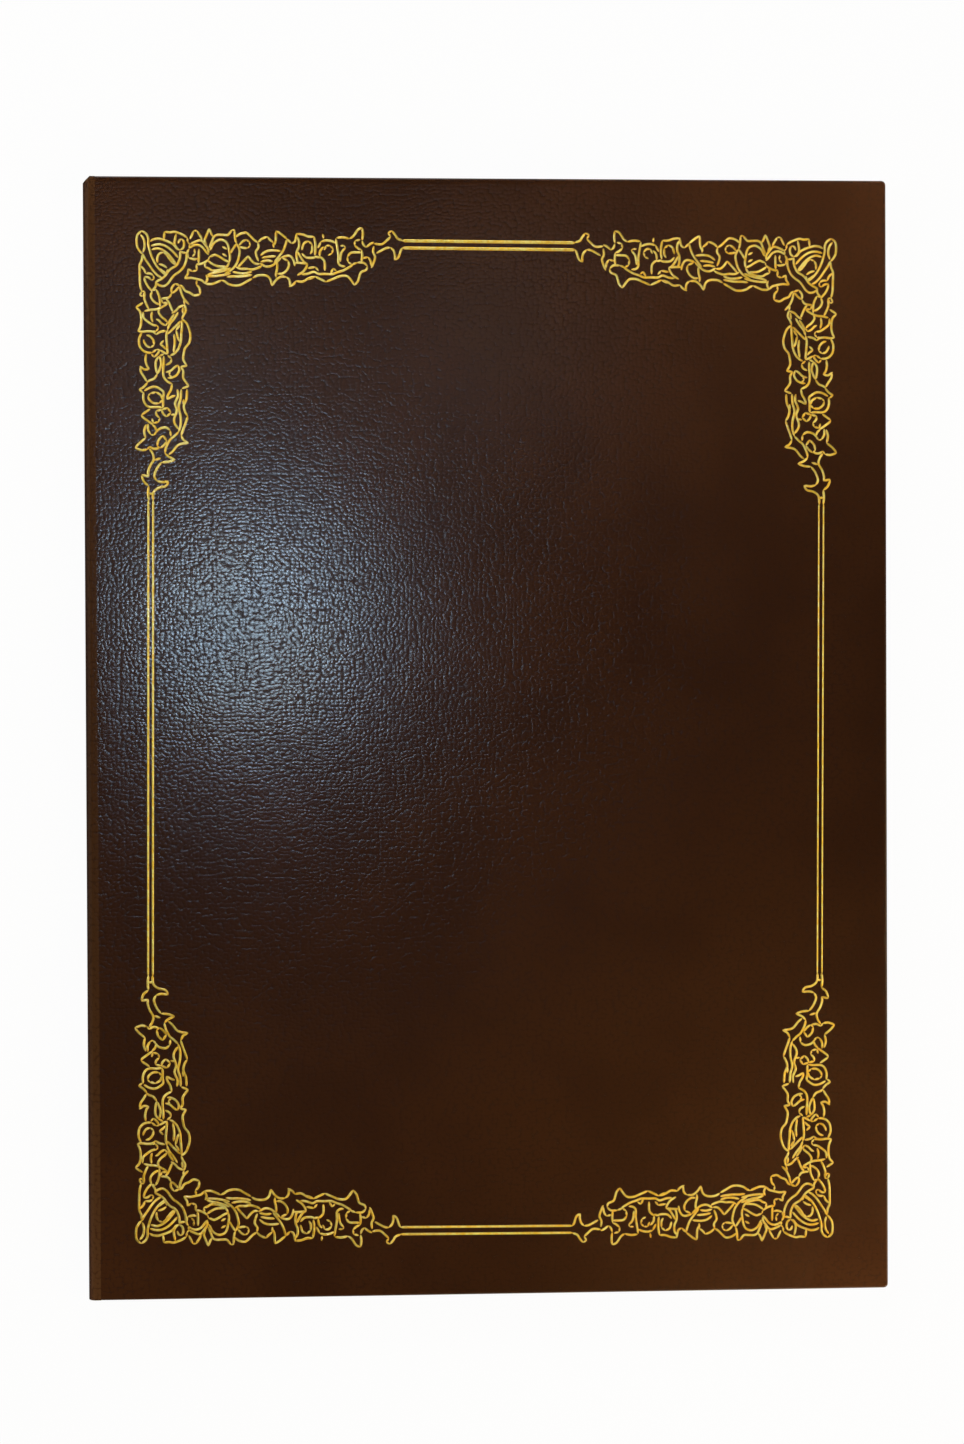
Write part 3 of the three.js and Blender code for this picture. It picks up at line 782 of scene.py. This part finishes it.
def ribbon_column(corner, reach):
    """The points of one column, which meets both edges of the card at this distance from its corner."""
    sx, sy = corner
    cx = MOUNT_HIGH.x if sx > 0 else MOUNT_LOW.x
    cy = MOUNT_HIGH.y if sy > 0 else MOUNT_LOW.y
    side, head = Vector((cx, cy - sy * reach)), Vector((cx - sx * reach, cy))
    low_z, edge_z = MOUNT_LOW.z + RIBBON, MOUNT_HIGH.z - RIBBON

    def end(foot, out, back):
        tail = [(foot + back * RIBBON_TAIL, TAIL_Z), (foot + back * RIBBON, TAIL_Z)]
        climb = [(foot + out * EDGE_OUT, low_z), (foot + out * EDGE_OUT, edge_z)]
        return tail + climb + [(foot + out * EDGE_OUT / 2, MOUNT_HIGH.z + RIBBON / 2)]

    span = (head - side).length
    strap = []
    for i in range(1, STRAP_STEPS):
        share = i / STRAP_STEPS
        rise = eased(min(share, 1 - share) * span / STRAP_RISE)
        z = MOUNT_HIGH.z + RIBBON + (STRAP_Z - MOUNT_HIGH.z - RIBBON) * rise
        strap.append((side.lerp(head, share), z))
    first = end(side, Vector((sx, 0)), Vector((-sx, sy)))
    last = end(head, Vector((0, sy)), Vector((sx, -sy)))
    return [Vector((p.x, p.y, z)) for p, z in first + strap + last[::-1]]


def finished(made):
    """The piece with its modifiers worked into its mesh."""
    graph = bpy.context.evaluated_depsgraph_get()
    mesh = bpy.data.meshes.new_from_object(made.evaluated_get(graph), depsgraph=graph)
    made.modifiers.clear()
    made.data = mesh
    return made


def stretch_ribbon(name, corner):
    reaches = [
        RIBBON_NEAR + (RIBBON_FAR - RIBBON_NEAR) * i / RIBBON_COLUMNS for i in range(RIBBON_COLUMNS + 1)
    ]
    columns = [ribbon_column(corner, reach) for reach in reaches]
    count = len(columns[0])
    mesh = bpy.data.meshes.new(name)
    mesh.from_pydata([p for column in columns for p in column], [], rings_to_faces(len(columns), count))
    run = [0.0]
    middle = columns[RIBBON_COLUMNS // 2]
    for a, b in zip(middle, middle[1:]):
        run.append(run[-1] + (b - a).length)
    threads = mesh.uv_layers.new(name="threads")
    for loop in mesh.loops:
        column, row = divmod(loop.vertex_index, count)
        threads.uv[loop.index].vector = (RIBBON_WIDTH * column / RIBBON_COLUMNS / MM, run[row] / MM)
    mesh.materials.append(satin)
    mesh.shade_smooth()
    ribbon = bpy.data.objects.new(name, mesh)
    scene.collection.objects.link(ribbon)
    wall = ribbon.modifiers.new("thickness", "SOLIDIFY")
    wall.thickness = RIBBON
    wall.offset = 0.0
    return finished(ribbon), run[-1]


ribbons = {}
for name, corner in CORNERS.items():
    ribbons[name], ribbon_length = stretch_ribbon("satin_ribbon_" + name, corner)
    report(ribbons[name])
print(f"each ribbon is cut to {RIBBON_WIDTH / MM:.0f} x {ribbon_length / MM:.0f} mm")

# %% [markdown]
# ## The gold border, drawn
#
# The border is a common binder's ornament: a foliate corner, the same in all four corners as mirror images,
# and a double rule between them. It is drawn on a grid. The first number runs along the head from
# the cover's corner, the second down the side. Each line below is one stroke, and a stroke that turns
# sharply is broken there, so that its tip stays pointed. The die was pressed a little turned and off the
# middle, so the whole drawing gets the same small turn and shift.

# %% Draw the strokes
GRID = 0.178 * MM
SIDE_INSET = 12.25 * MM
HEAD_INSET = 13.0 * MM
PRESS_TURN = -0.0063
PRESS_SHIFT = Vector((-0.45 * MM, -0.3 * MM))

SHELL = """
20,13 13,20 12.5,35 16,43 21,49
20,13 27,18 30,25 30,33 32,42 36,54 41,64 47,72 55,79 58,79
18,19 23,26 24.5,36 22,46
21,48 25,56 31,65 38,75 45,82 51,85
21,49 20,58 17,66 17,80 17.5,95 20,106
17,67 23,72 26,79 33,79 38,82 39,87 35,89 30,85 24,84 25,90 29,98 34,104 36,107
33,29 38,26 46,25 54,27 62,30 69,34 74,40 78,42
34,36 42,34 50,34 58,37 65,42 71,48 76,54
35,42 44,40 53,43 61,49 67,56 73,64
44,62 44,54 47,48 53,46 58,49 62,55 67,61 72,65
46,64 53,66 59,70
46,70 52,75 58,78
60,72 58,78
79,43 79,52 77,59 73,66 65,71 60,76 56,82 50,87 43,91 41,95
79,44 84,46 89,46 89,54 87,62 83,70 77,76 70,81 65,87 60,94 54,98 47,97 42,93
"""

CREST = """
54,26 55,14 63,15 70,14 77,16 84,19 90,23 91,30
73,17 71,26 71,34 75,40 79,42 84,38 85,30 82,25 78,27 76,32
94,25 100,12 105,12 110,20 113,26
94,33 100,30 108,27 113,28 118,34 122,40 123,47
91,30 94,33 93,39
93,39 99,35 106,34 113,37 118,43 123,49
120,34 117,27 119,20 124,8 127,16 130,21
124,38 128,28 131,21 136,18 144,18 152,18 156,14 159,10 164,11
163,11 164,24 166,31
166,31 160,40 156,47
125,42 130,32 136,27 142,25.5 149,28 153,34 155,44 156,52 155,60
144,36 151,40
144,47 151,51
93,40 90,46 92,54 100,56 106,55
101,40 102,47 98,52
108,40 108,50 107.5,62 104,64
123,56 124,52 128,50.5 133,49 140,52 148,57 155,60
122,58 127,62 135,66 143,67 151,67
104,64 111,63 118,60 123,56
118,60 117,68 123,70 128,73 135,73 143,71 150,68
104,64 105,73 98,75 91,71 91,78 86,86 96,85 106,87 113,89 118,94
105,88 104,95 109,101 110,110 101,112 94,108 87,105 83,99 79,96
79,97 71,94 66,101 66,109 72,105 78,98
66,109 62,115 55,117 51,117
79,98 81,108 85,117 89,122 93,126
85,118 86,126
"""

CRESCENT = """
121,80 130,77 140,75 150,72 157,69
120,82 130,82 140,81 150,79 157,77
119,80 121,86 118,94
118,94 128,94 136,91 143,88 148,90 154,94 163,96 172,95 181,90 190,85
151,83 160,82 170,82 180,81 190,79
160,75 170,77 180,77 190,74
165,67 172,70 181,70 190,71 200,68 205,65
"""

HEAD_ARM = """
166,31 169,36 171,43 169,54 166,62 160,70 153,75 146,80
155,60 151,67 146,72 141,75
164,22 167,19 173,15.5 181,14.5 187,19 193,25 199,29
170,34 175,28 181,25 186,28 187,34 183,38 176,37.5 170,36
199,29 200,36 196,43 197,50 200,58
168,68 174,61 184,50 189,57 195,62 202,62
199,29 203,25 208,22 214,20 217,24 223,29 223.5,37
223,34 226.5,26 227,11 234,15 244,23 242,31 238,41 231,51 224,60
244,23 251,30 256,27 258,20 259,14
203,49 211,43 221,41 234,42
205,53 215,51 227,50
202,61 211,66 220,65 227,60 235,52
203,59 213,57 222,58
235,52 245,49 251,51 255,58 256,65
237,53 246,57 247,64 243,72 236,77 229,77
229,59 229,68 227,77 227.5,83
191,84 199,80 211,80 218,85 221,96
221,96 226,88 234,82 243,82 248,87 249,97
247,97 254,93 258,88 268,89 277,84 286,81
259,15 268,16 277,19 286,19
257,19 262,24 262.5,34 259,44 260,56 263,60
261,43 266,52 271,59 276,61
256,60 263,60 276,61
276,61 273,68 268,74 260,79
267,40 270,30 277,26 283,31 283,40 280,46
267,45 273,51 281,52 289,51
286,19 288,30 288,40 287,48
299.6,15 300.6,22
291.6,36.7 296.6,26.7 304.6,24.7 312.6,25.7 319.6,28.7
301.6,39.7 304.6,32.7 310.6,32.7 315.6,37.7 313.6,44.7 307.6,47.7
300.6,34.7 295.6,40.7 294.6,49.7 300.6,54.7 302.6,59.7 302.6,71.7
286.6,49.7 295.6,51.7
319.6,21.7 321.6,33.7 323.6,46.7 323.6,58.7 327.6,63.7 334.6,64.7
326.6,32.7 332.6,32.7 334.6,35.7 328.6,42.7 326.6,53.7 326.6,57.7
320.6,20.7 330.6,19.7 340.6,21.7 346.6,17.7 353.6,7.7 360.6,4.7 361.6,13.7 360.6,23.7
357.6,22.7 349.6,24.7 348.6,31.7 354.6,36.7 359.6,38.7 360.6,47.7 359.6,57.7
359.6,42.7 350.6,42.7 342.6,43.7 337.6,49.7 338.6,57.7 344.6,61.7 352.6,58.7
360.6,24.7 362.6,30.7 366.6,34.7 372.6,29.7 378.6,26.7
378.6,28.7 390.6,29.7 399.6,22.7 404.6,17.7 400.6,11.7 406.6,8.7 411.6,14.7 415.6,20.7 423.4,23.7
382.6,43.7 389.6,39.7 397.6,35.7 404.6,34.7 409.6,39.7 411.6,47.7 410.6,53.7 416.6,49.7 420.6,38.7 423.4,34.7
378.6,32.7 377.6,41.7 380.6,49.7 377.6,59.7 374.6,66.7
361.6,51.7 369.6,49.7 373.6,55.7 374.6,63.7
352.6,58.7 362.6,58.7 368.6,63.7 366.6,69.7 358.6,73.7 355.6,81.7 353.6,87.7 348.6,93.7
348.6,93.7 342.6,84.7 336.6,79.7 326.6,79.7 316.6,83.7 304.6,88.7 295.6,84.7 287.6,80.7 276.6,85.7
266.6,77.7 275.6,76.7 285.6,73.7 292.6,76.7 302.6,76.7 314.6,76.7 322.6,73.7 331.6,70.7 340.6,65.7 346.6,61.7
276,68 288,66 293,72
311.6,75.7 315.6,67.7 320.6,71.7
"""

SIDE_ARM_UPPER = """
43,92 41,99 36,105
36,106 34,113 37,120 43,125 48,126
36,105 42,103 46,111 48,119 48,130
20,106 17,113 22,114 25,107 20,106
25,108 24,117 27,126 31,134
22,124 11,131 17,137 19,144
24,137 32,135 42,134 50,131 60,125
50,117 57,117 61,122 64,128 68,138
50,118 52,124 60,124
86,127 78,130 72,136 66,140
86,126 88,135 84,143 82,149
84,130 83,140
82,149 89,155 93,164 95,174 93,185 87,193 85,200 84,210 87,217 90,221
82,150 82,160 81,172 80,184 76,195 70,202 64,205
80,152 72,160 66,166 60,172
79,157 73,166 76,178 79,184
70,172 71,185 69,200
60,165 58,175 59,190 60,203
76,138 70,148 63,157 60,165
70,141 64,150 61,157
48,130 46,138 50,145 56,150 60,154
60,154 57,159 51,156 46,151 42,149
17,137 19,144 19,155 17,163 14,168
22,138 23,147 29,153 37,158 44,159 46,163 42,168 36,168
36,137 35,146 37,154
14,168 20,169 30,168 38,169 42,173 48,169 57,167
20,170 16,180 17,191 22,198 29,201 36,201
27,174 33,176 38,182 39,189 34,193 28,191 24,185 23,181
36,201 43,196 48,197 44,203 39,208 35,203
48,197 55,201 60,203
54,182 48,188 54,192 57,196
27,203 26,212 28,221 32,226
32,226 24,227 17,222
18,223 19,231 24,239 28,246
47,206 42,214 42,225 44,234 47,228 50,219 49,211 47,206
44,234 39,241 32,244 28,247
47,206 54,203
54,206 54,217 53,228 54,238 59,245 67,249 65,258 61,265
60,205 66,210 64,216 57,220
57,231 64,229 71,223 76,220 78,227 74,235 67,239 60,240
64,229 62,235 67,239
90,221 80,222 84,229 84,239 88,246 93,252 82,256
"""

SIDE_ARM_LOWER = """
29,247 23,254 16,258 22,263
24,260 33,255 42,254 51,259 54,263 53,271 53,282 52,286
23,262 22.5,272 26,281 32,285 44,285 52,286
33,264 42,262 49.5,267 52,274 47,279 38.5,279 32,274 30,268 33,264
65,258 60.5,266 59,273 66,269 72,267
33,288 20,297 22,301 33,309 38,312
51,289 60,286 65,293.5 58,300 53,295 51,289
65,297 72,296
51,289 42,291 43,297 48,302 46,308 38,310 36,303
75,257 76,267 71.5,279 74,290 70,303 71.5,311 77,319
81,257 80,271.5 77,283.6 80,299 80,312 77,323
90,257 89,271.5 85,282.5 87,292 91,299 87,311 83.6,320 81,328.7 85,336 92.4,340
84.7,272.6 84.7,282.5
92.4,340 77,343 68,353 61.6,358.4
77,323 70,330 64,335 59,344 56.6,350.7 56,356 61.6,361.7 71.5,366
40.7,325.4 47,318.8 57,316.6 64,321 65,330
30,311 30,320 34,327.6 38.5,328.7 43,323 41,316.6 36,312
53,328.7 46,336 44,345 48,348.5 54,344 59,337.5 53,328.7
27,312 24,322 26,333 16.5,340.8 10,348.5 20,351.8 28.6,350.7 32,346 38.5,349.6 47,348.5
32,349.6 37,357 38.5,366 33,376 30,386 31,392.5 20,390
39.6,367 49.5,364
71.5,366 61.6,369.4 50.6,370.5 44,379 39.6,391 43,399 50.6,401 61.6,400
61.6,400 57,407 46,410 38.5,416.7 37.4,429.7
20,391 24,401 31,407 30,418 31,429.7
30,419 38.5,419
"""


def read_strokes(*drawings):
    lines = [line for drawing in drawings for line in drawing.split("\n") if line]
    return [[tuple(float(n) for n in point.split(",")) for point in line.split()] for line in lines]


strokes = read_strokes(SHELL, CREST, CRESCENT, HEAD_ARM, SIDE_ARM_UPPER, SIDE_ARM_LOWER)
print(len(strokes), "strokes in a corner,", sum(len(stroke) for stroke in strokes), "points")

# %% [markdown]
# ## The gold border, swept
#
# Every stroke and rule follows a path, so Geometry Nodes make the foil. The tree turns the drawn lines into
# smooth curves and sweeps a low crowned section along them. The section's width and height, the spacing of
# the points and the taper at the ends are inputs of the tree, set before it first runs. The rules get a width
# for each side of the cover, as they are pressed.

# %% Build the sweep
SECTION_STEPS = 12
TIP_WIDTH = 0.45


def sweep_tree():
    tree = bpy.data.node_groups.new("foil_sweep", "GeometryNodeTree")
    tree.interface.new_socket("Strokes", in_out="INPUT", socket_type="NodeSocketGeometry")
    for name in ("Width", "Height", "Spacing", "Taper"):
        tree.interface.new_socket(name, in_out="INPUT", socket_type="NodeSocketFloat")
    tree.interface.new_socket("Finish", in_out="INPUT", socket_type="NodeSocketMaterial")
    tree.interface.new_socket("Foil", in_out="OUTPUT", socket_type="NodeSocketGeometry")
    sizes = tree.nodes.new("NodeGroupInput").outputs

    def add(kind, settings=None, sockets=None, output=0):
        made = tree.nodes.new(kind)
        for name, value in (settings or {}).items():
            setattr(made, name, value)
        for name, value in (sockets or {}).items():
            if isinstance(value, bpy.types.NodeSocket):
                tree.links.new(value, made.inputs[name])
            else:
                made.inputs[name].default_value = value
        return made.outputs[output]

    def maths(operation, first, second):
        return add("ShaderNodeMath", {"operation": operation}, {0: first, 1: second})

    lines = add("GeometryNodeMeshToCurve", sockets={"Mesh": sizes["Strokes"]})
    smooth = add("GeometryNodeCurveSplineType", {"spline_type": "CATMULL_ROM"}, {"Curve": lines})
    spaced = {"Curve": smooth, "Length": sizes["Spacing"]}
    even = add("GeometryNodeResampleCurve", {"mode": "LENGTH"}, spaced)
    level = add("GeometryNodeSetCurveNormal", {"mode": "Z_UP"}, {"Curve": even})

    round_section = {"Resolution": SECTION_STEPS, "Radius": 1.0}
    circle = add("GeometryNodeCurvePrimitiveCircle", {"mode": "RADIUS"}, round_section)
    place = add("GeometryNodeInputPosition")
    across = add("ShaderNodeSeparateXYZ", sockets={0: place}, output="X")
    up = add("ShaderNodeSeparateXYZ", sockets={0: place}, output="Y")
    half_width = maths("MULTIPLY", sizes["Width"], 0.5)
    crown = maths("MULTIPLY", maths("MINIMUM", up, 0.0), sizes["Height"])
    shaped = add("ShaderNodeCombineXYZ", sockets={"X": maths("MULTIPLY", across, half_width), "Y": crown})
    section = add("GeometryNodeSetPosition", sockets={"Geometry": circle, "Position": shaped})

    run = add("GeometryNodeSplineParameter", output="Length")
    whole = add("GeometryNodeSplineLength", output="Length")
    to_end = maths("MINIMUM", run, maths("SUBTRACT", whole, run))
    share = maths("MINIMUM", maths("DIVIDE", to_end, sizes["Taper"]), 1.0)
    fullness = maths("ADD", maths("MULTIPLY", share, 1 - TIP_WIDTH), TIP_WIDTH)
    swept = add(
        "GeometryNodeCurveToMesh",
        sockets={"Curve": level, "Profile Curve": section, "Scale": fullness, "Fill Caps": True},
    )
    real = add("GeometryNodeRealizeInstances", sockets={"Geometry": swept})
    gilt = add("GeometryNodeSetMaterial", sockets={"Geometry": real, "Material": sizes["Finish"]})
    tree.links.new(gilt, tree.nodes.new("NodeGroupOutput").inputs["Foil"])
    return tree


foil_sweep = sweep_tree()
print(foil_sweep.name, "has", len(foil_sweep.nodes), "nodes")

# %% Sweep the corners and the rules
STROKE_WIDTH = 0.64 * MM
RULE_WIDTHS = {"head": 0.85 * MM, "tail": 0.64 * MM, "spine": 0.54 * MM, "fore": 0.42 * MM}
FOIL_SPACING = 0.2 * MM
STROKE_TAPER = 0.6 * MM
CUSP = math.radians(45)


def split_at_tips(points):
    """The stroke as separate runs, broken where it turns sharply."""
    runs, run = [], [points[0]]
    for before, here, after in zip(points, points[1:], points[2:]):
        run.append(here)
        if (here - before).angle(after - here) > CUSP:
            runs.append(run)
            run = [here]
    return runs + [run + [points[-1]]]


def sweep_foil(name, lines, width):
    points, edges = [], []
    for line in lines:
        edges += [(len(points) + i, len(points) + i + 1) for i in range(len(line) - 1)]
        points += [(p.x, p.y, FACE_Z) for p in line]
    mesh = bpy.data.meshes.new(name)
    mesh.from_pydata(points, edges, [])
    foil = bpy.data.objects.new(name, mesh)
    scene.collection.objects.link(foil)
    sweep = foil.modifiers.new("sweep", "NODES")
    sweep.node_group = foil_sweep
    sizes = {"Width": width, "Height": FOIL_HEIGHT, "Spacing": FOIL_SPACING}
    sizes |= {"Taper": STROKE_TAPER, "Finish": gold_foil}
    for item in foil_sweep.interface.items_tree:
        if item.name in sizes:
            sweep[item.identifier] = sizes[item.name]
    made = finished(foil)
    corners = [tuple(v.co) for v in made.data.vertices]
    faces = [list(face.vertices) for face in made.data.polygons]
    bpy.data.objects.remove(made)
    return make_piece(name, corners, faces, gold_foil)


def on_cover(corner, along, down):
    """A point of the drawing on the front cover, in the corner with these signs."""
    sx, sy = corner
    square = Vector((sx * (FORE_X - SIDE_INSET - along * GRID), sy * (HEAD_Y - HEAD_INSET - down * GRID)))
    return Matrix.Rotation(PRESS_TURN, 2) @ square + PRESS_SHIFT


foil_corners = {}
for name, corner in CORNERS.items():
    drawn = [[on_cover(corner, *point) for point in stroke] for stroke in strokes]
    runs = [run for stroke in drawn for run in split_at_tips(stroke)]
    foil_corners[name] = sweep_foil("gold_corner_" + name, runs, STROKE_WIDTH)

HEAD_RULES, HEAD_RULE_START = (24, 35), 423
SIDE_RULES, SIDE_RULE_START = (30.5, 37.8), 429
gold_rules = {}
for side, sign in [("head", 1), ("tail", -1), ("fore", 1), ("spine", -1)]:
    if side in ("head", "tail"):
        lines = [[on_cover((end, sign), HEAD_RULE_START, line) for end in (-1, 1)] for line in HEAD_RULES]
    else:
        lines = [[on_cover((sign, end), line, SIDE_RULE_START) for end in (1, -1)] for line in SIDE_RULES]
    gold_rules[side] = sweep_foil("gold_rules_" + side, lines, RULE_WIDTHS[side])

# %% [markdown]
# ## Joining the pieces to the frame
#
# Each rigid piece is parented to the body that carries it, and the nodes that it stands for are hidden. The
# covers, linings and foil are rigid, so they ride. The folds and the hinge strips cross a joint; their meshes
# are only fixed in place here, without a blend, and the nodes that they stand for are hidden. The boards and
# the infill paper are hidden inside, so their nodes stay and only take a finish.

# %% Ride and replace
def rides(made, body, slot, *nodes):
    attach(made, body)
    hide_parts(*nodes)


def bends(made, cover, start_x, end_x, slot, *nodes):
    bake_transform(made)
    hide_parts(*nodes)


rides(front_leather, "front_cover", "leatherette", "front_skin")
rides(back_leather, "back_cover", "leatherette", "back_skin")
rides(spine_core, "spine", "leatherette", "spine_skin", "spine_card")
fold_start, fold_end = SPINE_X + FOLD_RADIUS, SPINE_X + SPINE_HOLD
bends(front_fold, "front_cover", fold_start, fold_end, "leatherette", "front_crease")
bends(back_fold, "back_cover", fold_start, fold_end, "leatherette", "back_crease")
hinge_start, hinge_end = BOARD_X - LINING_LEATHER, SPINE_LINING_X + LINING_LEATHER
bends(front_hinge, "front_cover", hinge_start, hinge_end, "leatherette", "front_hinge_strip")
bends(
    back_hinge, "back_cover", hinge_start, hinge_end, "leatherette", "back_hinge_strip", "spine_hinge_strip"
)
rides(front_lining, "front_cover", "moire_lining", "front_lining")
rides(mount_panel, "back_cover", "moire_lining", "mount_card")
rides(clear_sheet, "back_cover", "acetate", "acetate_sheet")
for name in CORNERS:
    rides(ribbons[name], "back_cover", "satin_ribbon", "ribbon_" + name)
    rides(foil_corners[name], "front_cover", "gold_foil", "foil_corner_" + name)
for side, made in gold_rules.items():
    rides(made, "front_cover", "gold_foil", f"foil_rule_{side}_inner", f"foil_rule_{side}_outer")

for node, finish in [("board", grey_board), ("infill", infill_paper)]:
    for cover in ("front", "back"):
        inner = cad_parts[f"{cover}_{node}"]
        inner.data.materials.clear()
        inner.data.materials.append(finish)
print(len(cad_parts), "nodes are dressed")

# %% [markdown]
# ## Studio
#
# The photograph has a pure white ground. A pale sweep of paper, flat under the holder and curving up far
# behind it, gives that: it reads as white to the camera and in reflections, and still takes some of the
# holder's shadow. The lamps stay at a plain level, so the leatherette keeps its written colour. A small cool
# lamp near the camera makes the highlight, two weak ones give the head its sheen, and four soft boxes light
# the sides. The photograph grows lighter towards the corners, so four weak pools of light fall there. They
# reach the front leatherette alone and show in no reflection.

# %% Lay the paper sweep
SWEEP_FLAT = 2.5
SWEEP_BEND = 1.5
SWEEP_DROP = 0.3 * MM
SWEEP_SIDES = 64
SWEEP_STEPS = 8
PAPER_GREY = (0.93, 0.93, 0.93, 1)
WHITE = (1, 1, 1, 1)
WHITE_SHARE = 0.96


def paper_sweep():
    finish = Finish("studio_paper")
    path = finish.tree.nodes.new("ShaderNodeLightPath").outputs
    rays = ("Is Camera Ray", "Is Glossy Ray", "Is Transmission Ray")
    looked_at, mirrored, seen_through = [Wire(finish, path[ray]) for ray in rays]
    seen = looked_at + mirrored + seen_through
    factor = seen.maths("MINIMUM", seen * WHITE_SHARE, WHITE_SHARE)
    finish.surface(Base_Color=PAPER_GREY, Roughness=0.9)
    paper = Wire(finish, finish.shader.outputs[0])
    glow = finish.node("ShaderNodeEmission", sockets={"Color": WHITE, "Strength": 1.0})
    both = finish.node("ShaderNodeMixShader", sockets={0: factor, 1: paper, 2: glow})
    finish.join(finish.tree.nodes["Material Output"], {"Surface": both})
    bend = quarter(SWEEP_STEPS)
    rings = [(SWEEP_FLAT + SWEEP_BEND * math.sin(a), SWEEP_BEND - SWEEP_BEND * math.cos(a)) for a in bend]
    points = []
    for radius, z in rings:
        for side in range(SWEEP_SIDES):
            turn = 2 * math.pi * side / SWEEP_SIDES
            points.append((radius * math.cos(turn), radius * math.sin(turn), z - SWEEP_DROP))
    faces = rings_to_faces(len(rings), SWEEP_SIDES, closed=True)
    faces += [(len(points), side, (side + 1) % SWEEP_SIDES) for side in range(SWEEP_SIDES)]
    return make_piece("paper_sweep", points + [(0, 0, -SWEEP_DROP)], faces, finish.material)


sweep_paper = paper_sweep()
sweep_paper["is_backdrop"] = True

# %% Hang the lamps
CENTRE = (0, 0, 0)
POOL_X, POOL_Y, POOL_Z = 0.3, 0.372, 0.28
POOL_AIM_X, POOL_AIM_Y = 0.13, 0.18
POOL_WIDTH, POOL_SPREAD = 0.12, 36
AIR = (0.9, 0.95, 1.0, 1)
AIR_STRENGTH = 0.03


def hang_lamp(name, place, aim, width, height, power, colour, spread=180, only=None):
    """A lamp out of the camera's sight. With only, it lights just those pieces and shows in no reflection."""
    lamp = bpy.data.lights.new(name, "AREA")
    lamp.shape = "ELLIPSE"
    lamp.size, lamp.size_y = width, height
    lamp.spread = math.radians(spread)
    lamp.energy = power
    lamp.color = colour
    hung = bpy.data.objects.new(name, lamp)
    hung.location = place
    hung.rotation_euler = (Vector(aim) - Vector(place)).to_track_quat("-Z", "Y").to_euler()
    hung.visible_camera = False
    if only:
        hung.visible_glossy = False
        hung.light_linking.receiver_collection = only
    scene.collection.objects.link(hung)
    print(f"{name}: {power} W at", place)


hang_lamp("cool_lamp", (-0.086, 0.058, 0.95), (-0.057, 0.036, 0), 0.05, 0.06, 0.85, (0.56, 0.78, 1.0))
for side, x in [("spine", -0.13), ("fore", 0.07)]:
    hang_lamp("head_sheen_" + side, (x, 0.24, 1.0), (x / 2, 0.1, 0), 0.14, 0.14, 0.055, (1.0, 0.98, 0.95))
hang_lamp("left_box", (-0.75, 0.2, 0.5), CENTRE, 0.4, 0.7, 2.4, (1.0, 0.96, 0.92))
hang_lamp("right_box", (0.62, -0.15, 0.42), CENTRE, 0.4, 0.7, 2.35, (1.0, 0.78, 0.44))
hang_lamp("tail_box", (0.25, -0.78, 0.45), CENTRE, 0.7, 0.4, 2.55, (1.0, 0.75, 0.38))
hang_lamp("head_box", (-0.1, 0.82, 0.5), CENTRE, 0.7, 0.4, 3.0, (1.0, 0.97, 0.93))
front_face = bpy.data.collections.new("front_face")
for made in (front_leather, front_fold):
    front_face.objects.link(made)
for name, (sx, sy), power, colour in [
    ("tail_fore_pool", (1, -1), 0.24, (1.0, 0.98, 0.8)),
    ("head_fore_pool", (1, 1), 0.19, (1.0, 0.98, 0.94)),
    ("head_spine_pool", (-1, 1), 0.06, (1.0, 0.97, 0.9)),
    ("tail_spine_pool", (-1, -1), 0.085, (1.0, 0.96, 0.86)),
]:
    place, aim = (POOL_X * sx, POOL_Y * sy, POOL_Z), (POOL_AIM_X * sx, POOL_AIM_Y * sy, 0)
    hang_lamp(name, place, aim, POOL_WIDTH, POOL_WIDTH, power, colour, POOL_SPREAD, front_face)

world = bpy.data.worlds.new("studio_air")
scene.world = world
world.use_nodes = True
world.node_tree.nodes["Background"].inputs["Color"].default_value = AIR
world.node_tree.nodes["Background"].inputs["Strength"].default_value = AIR_STRENGTH
scene.view_settings.view_transform = "Standard"

# %% [markdown]
# ## Finish
#
# The box of the dressed holder is printed beside the box of the construction, so that the two can be
# compared.

# %% Print the boxes
visual_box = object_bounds()
sizes = {"cad": [list(corner) for corner in cad_box], "visual": [list(corner) for corner in visual_box]}
for label, box in sizes.items():
    print(label, "box", [round((high - low) / MM, 2) for low, high in zip(*box)], "mm")
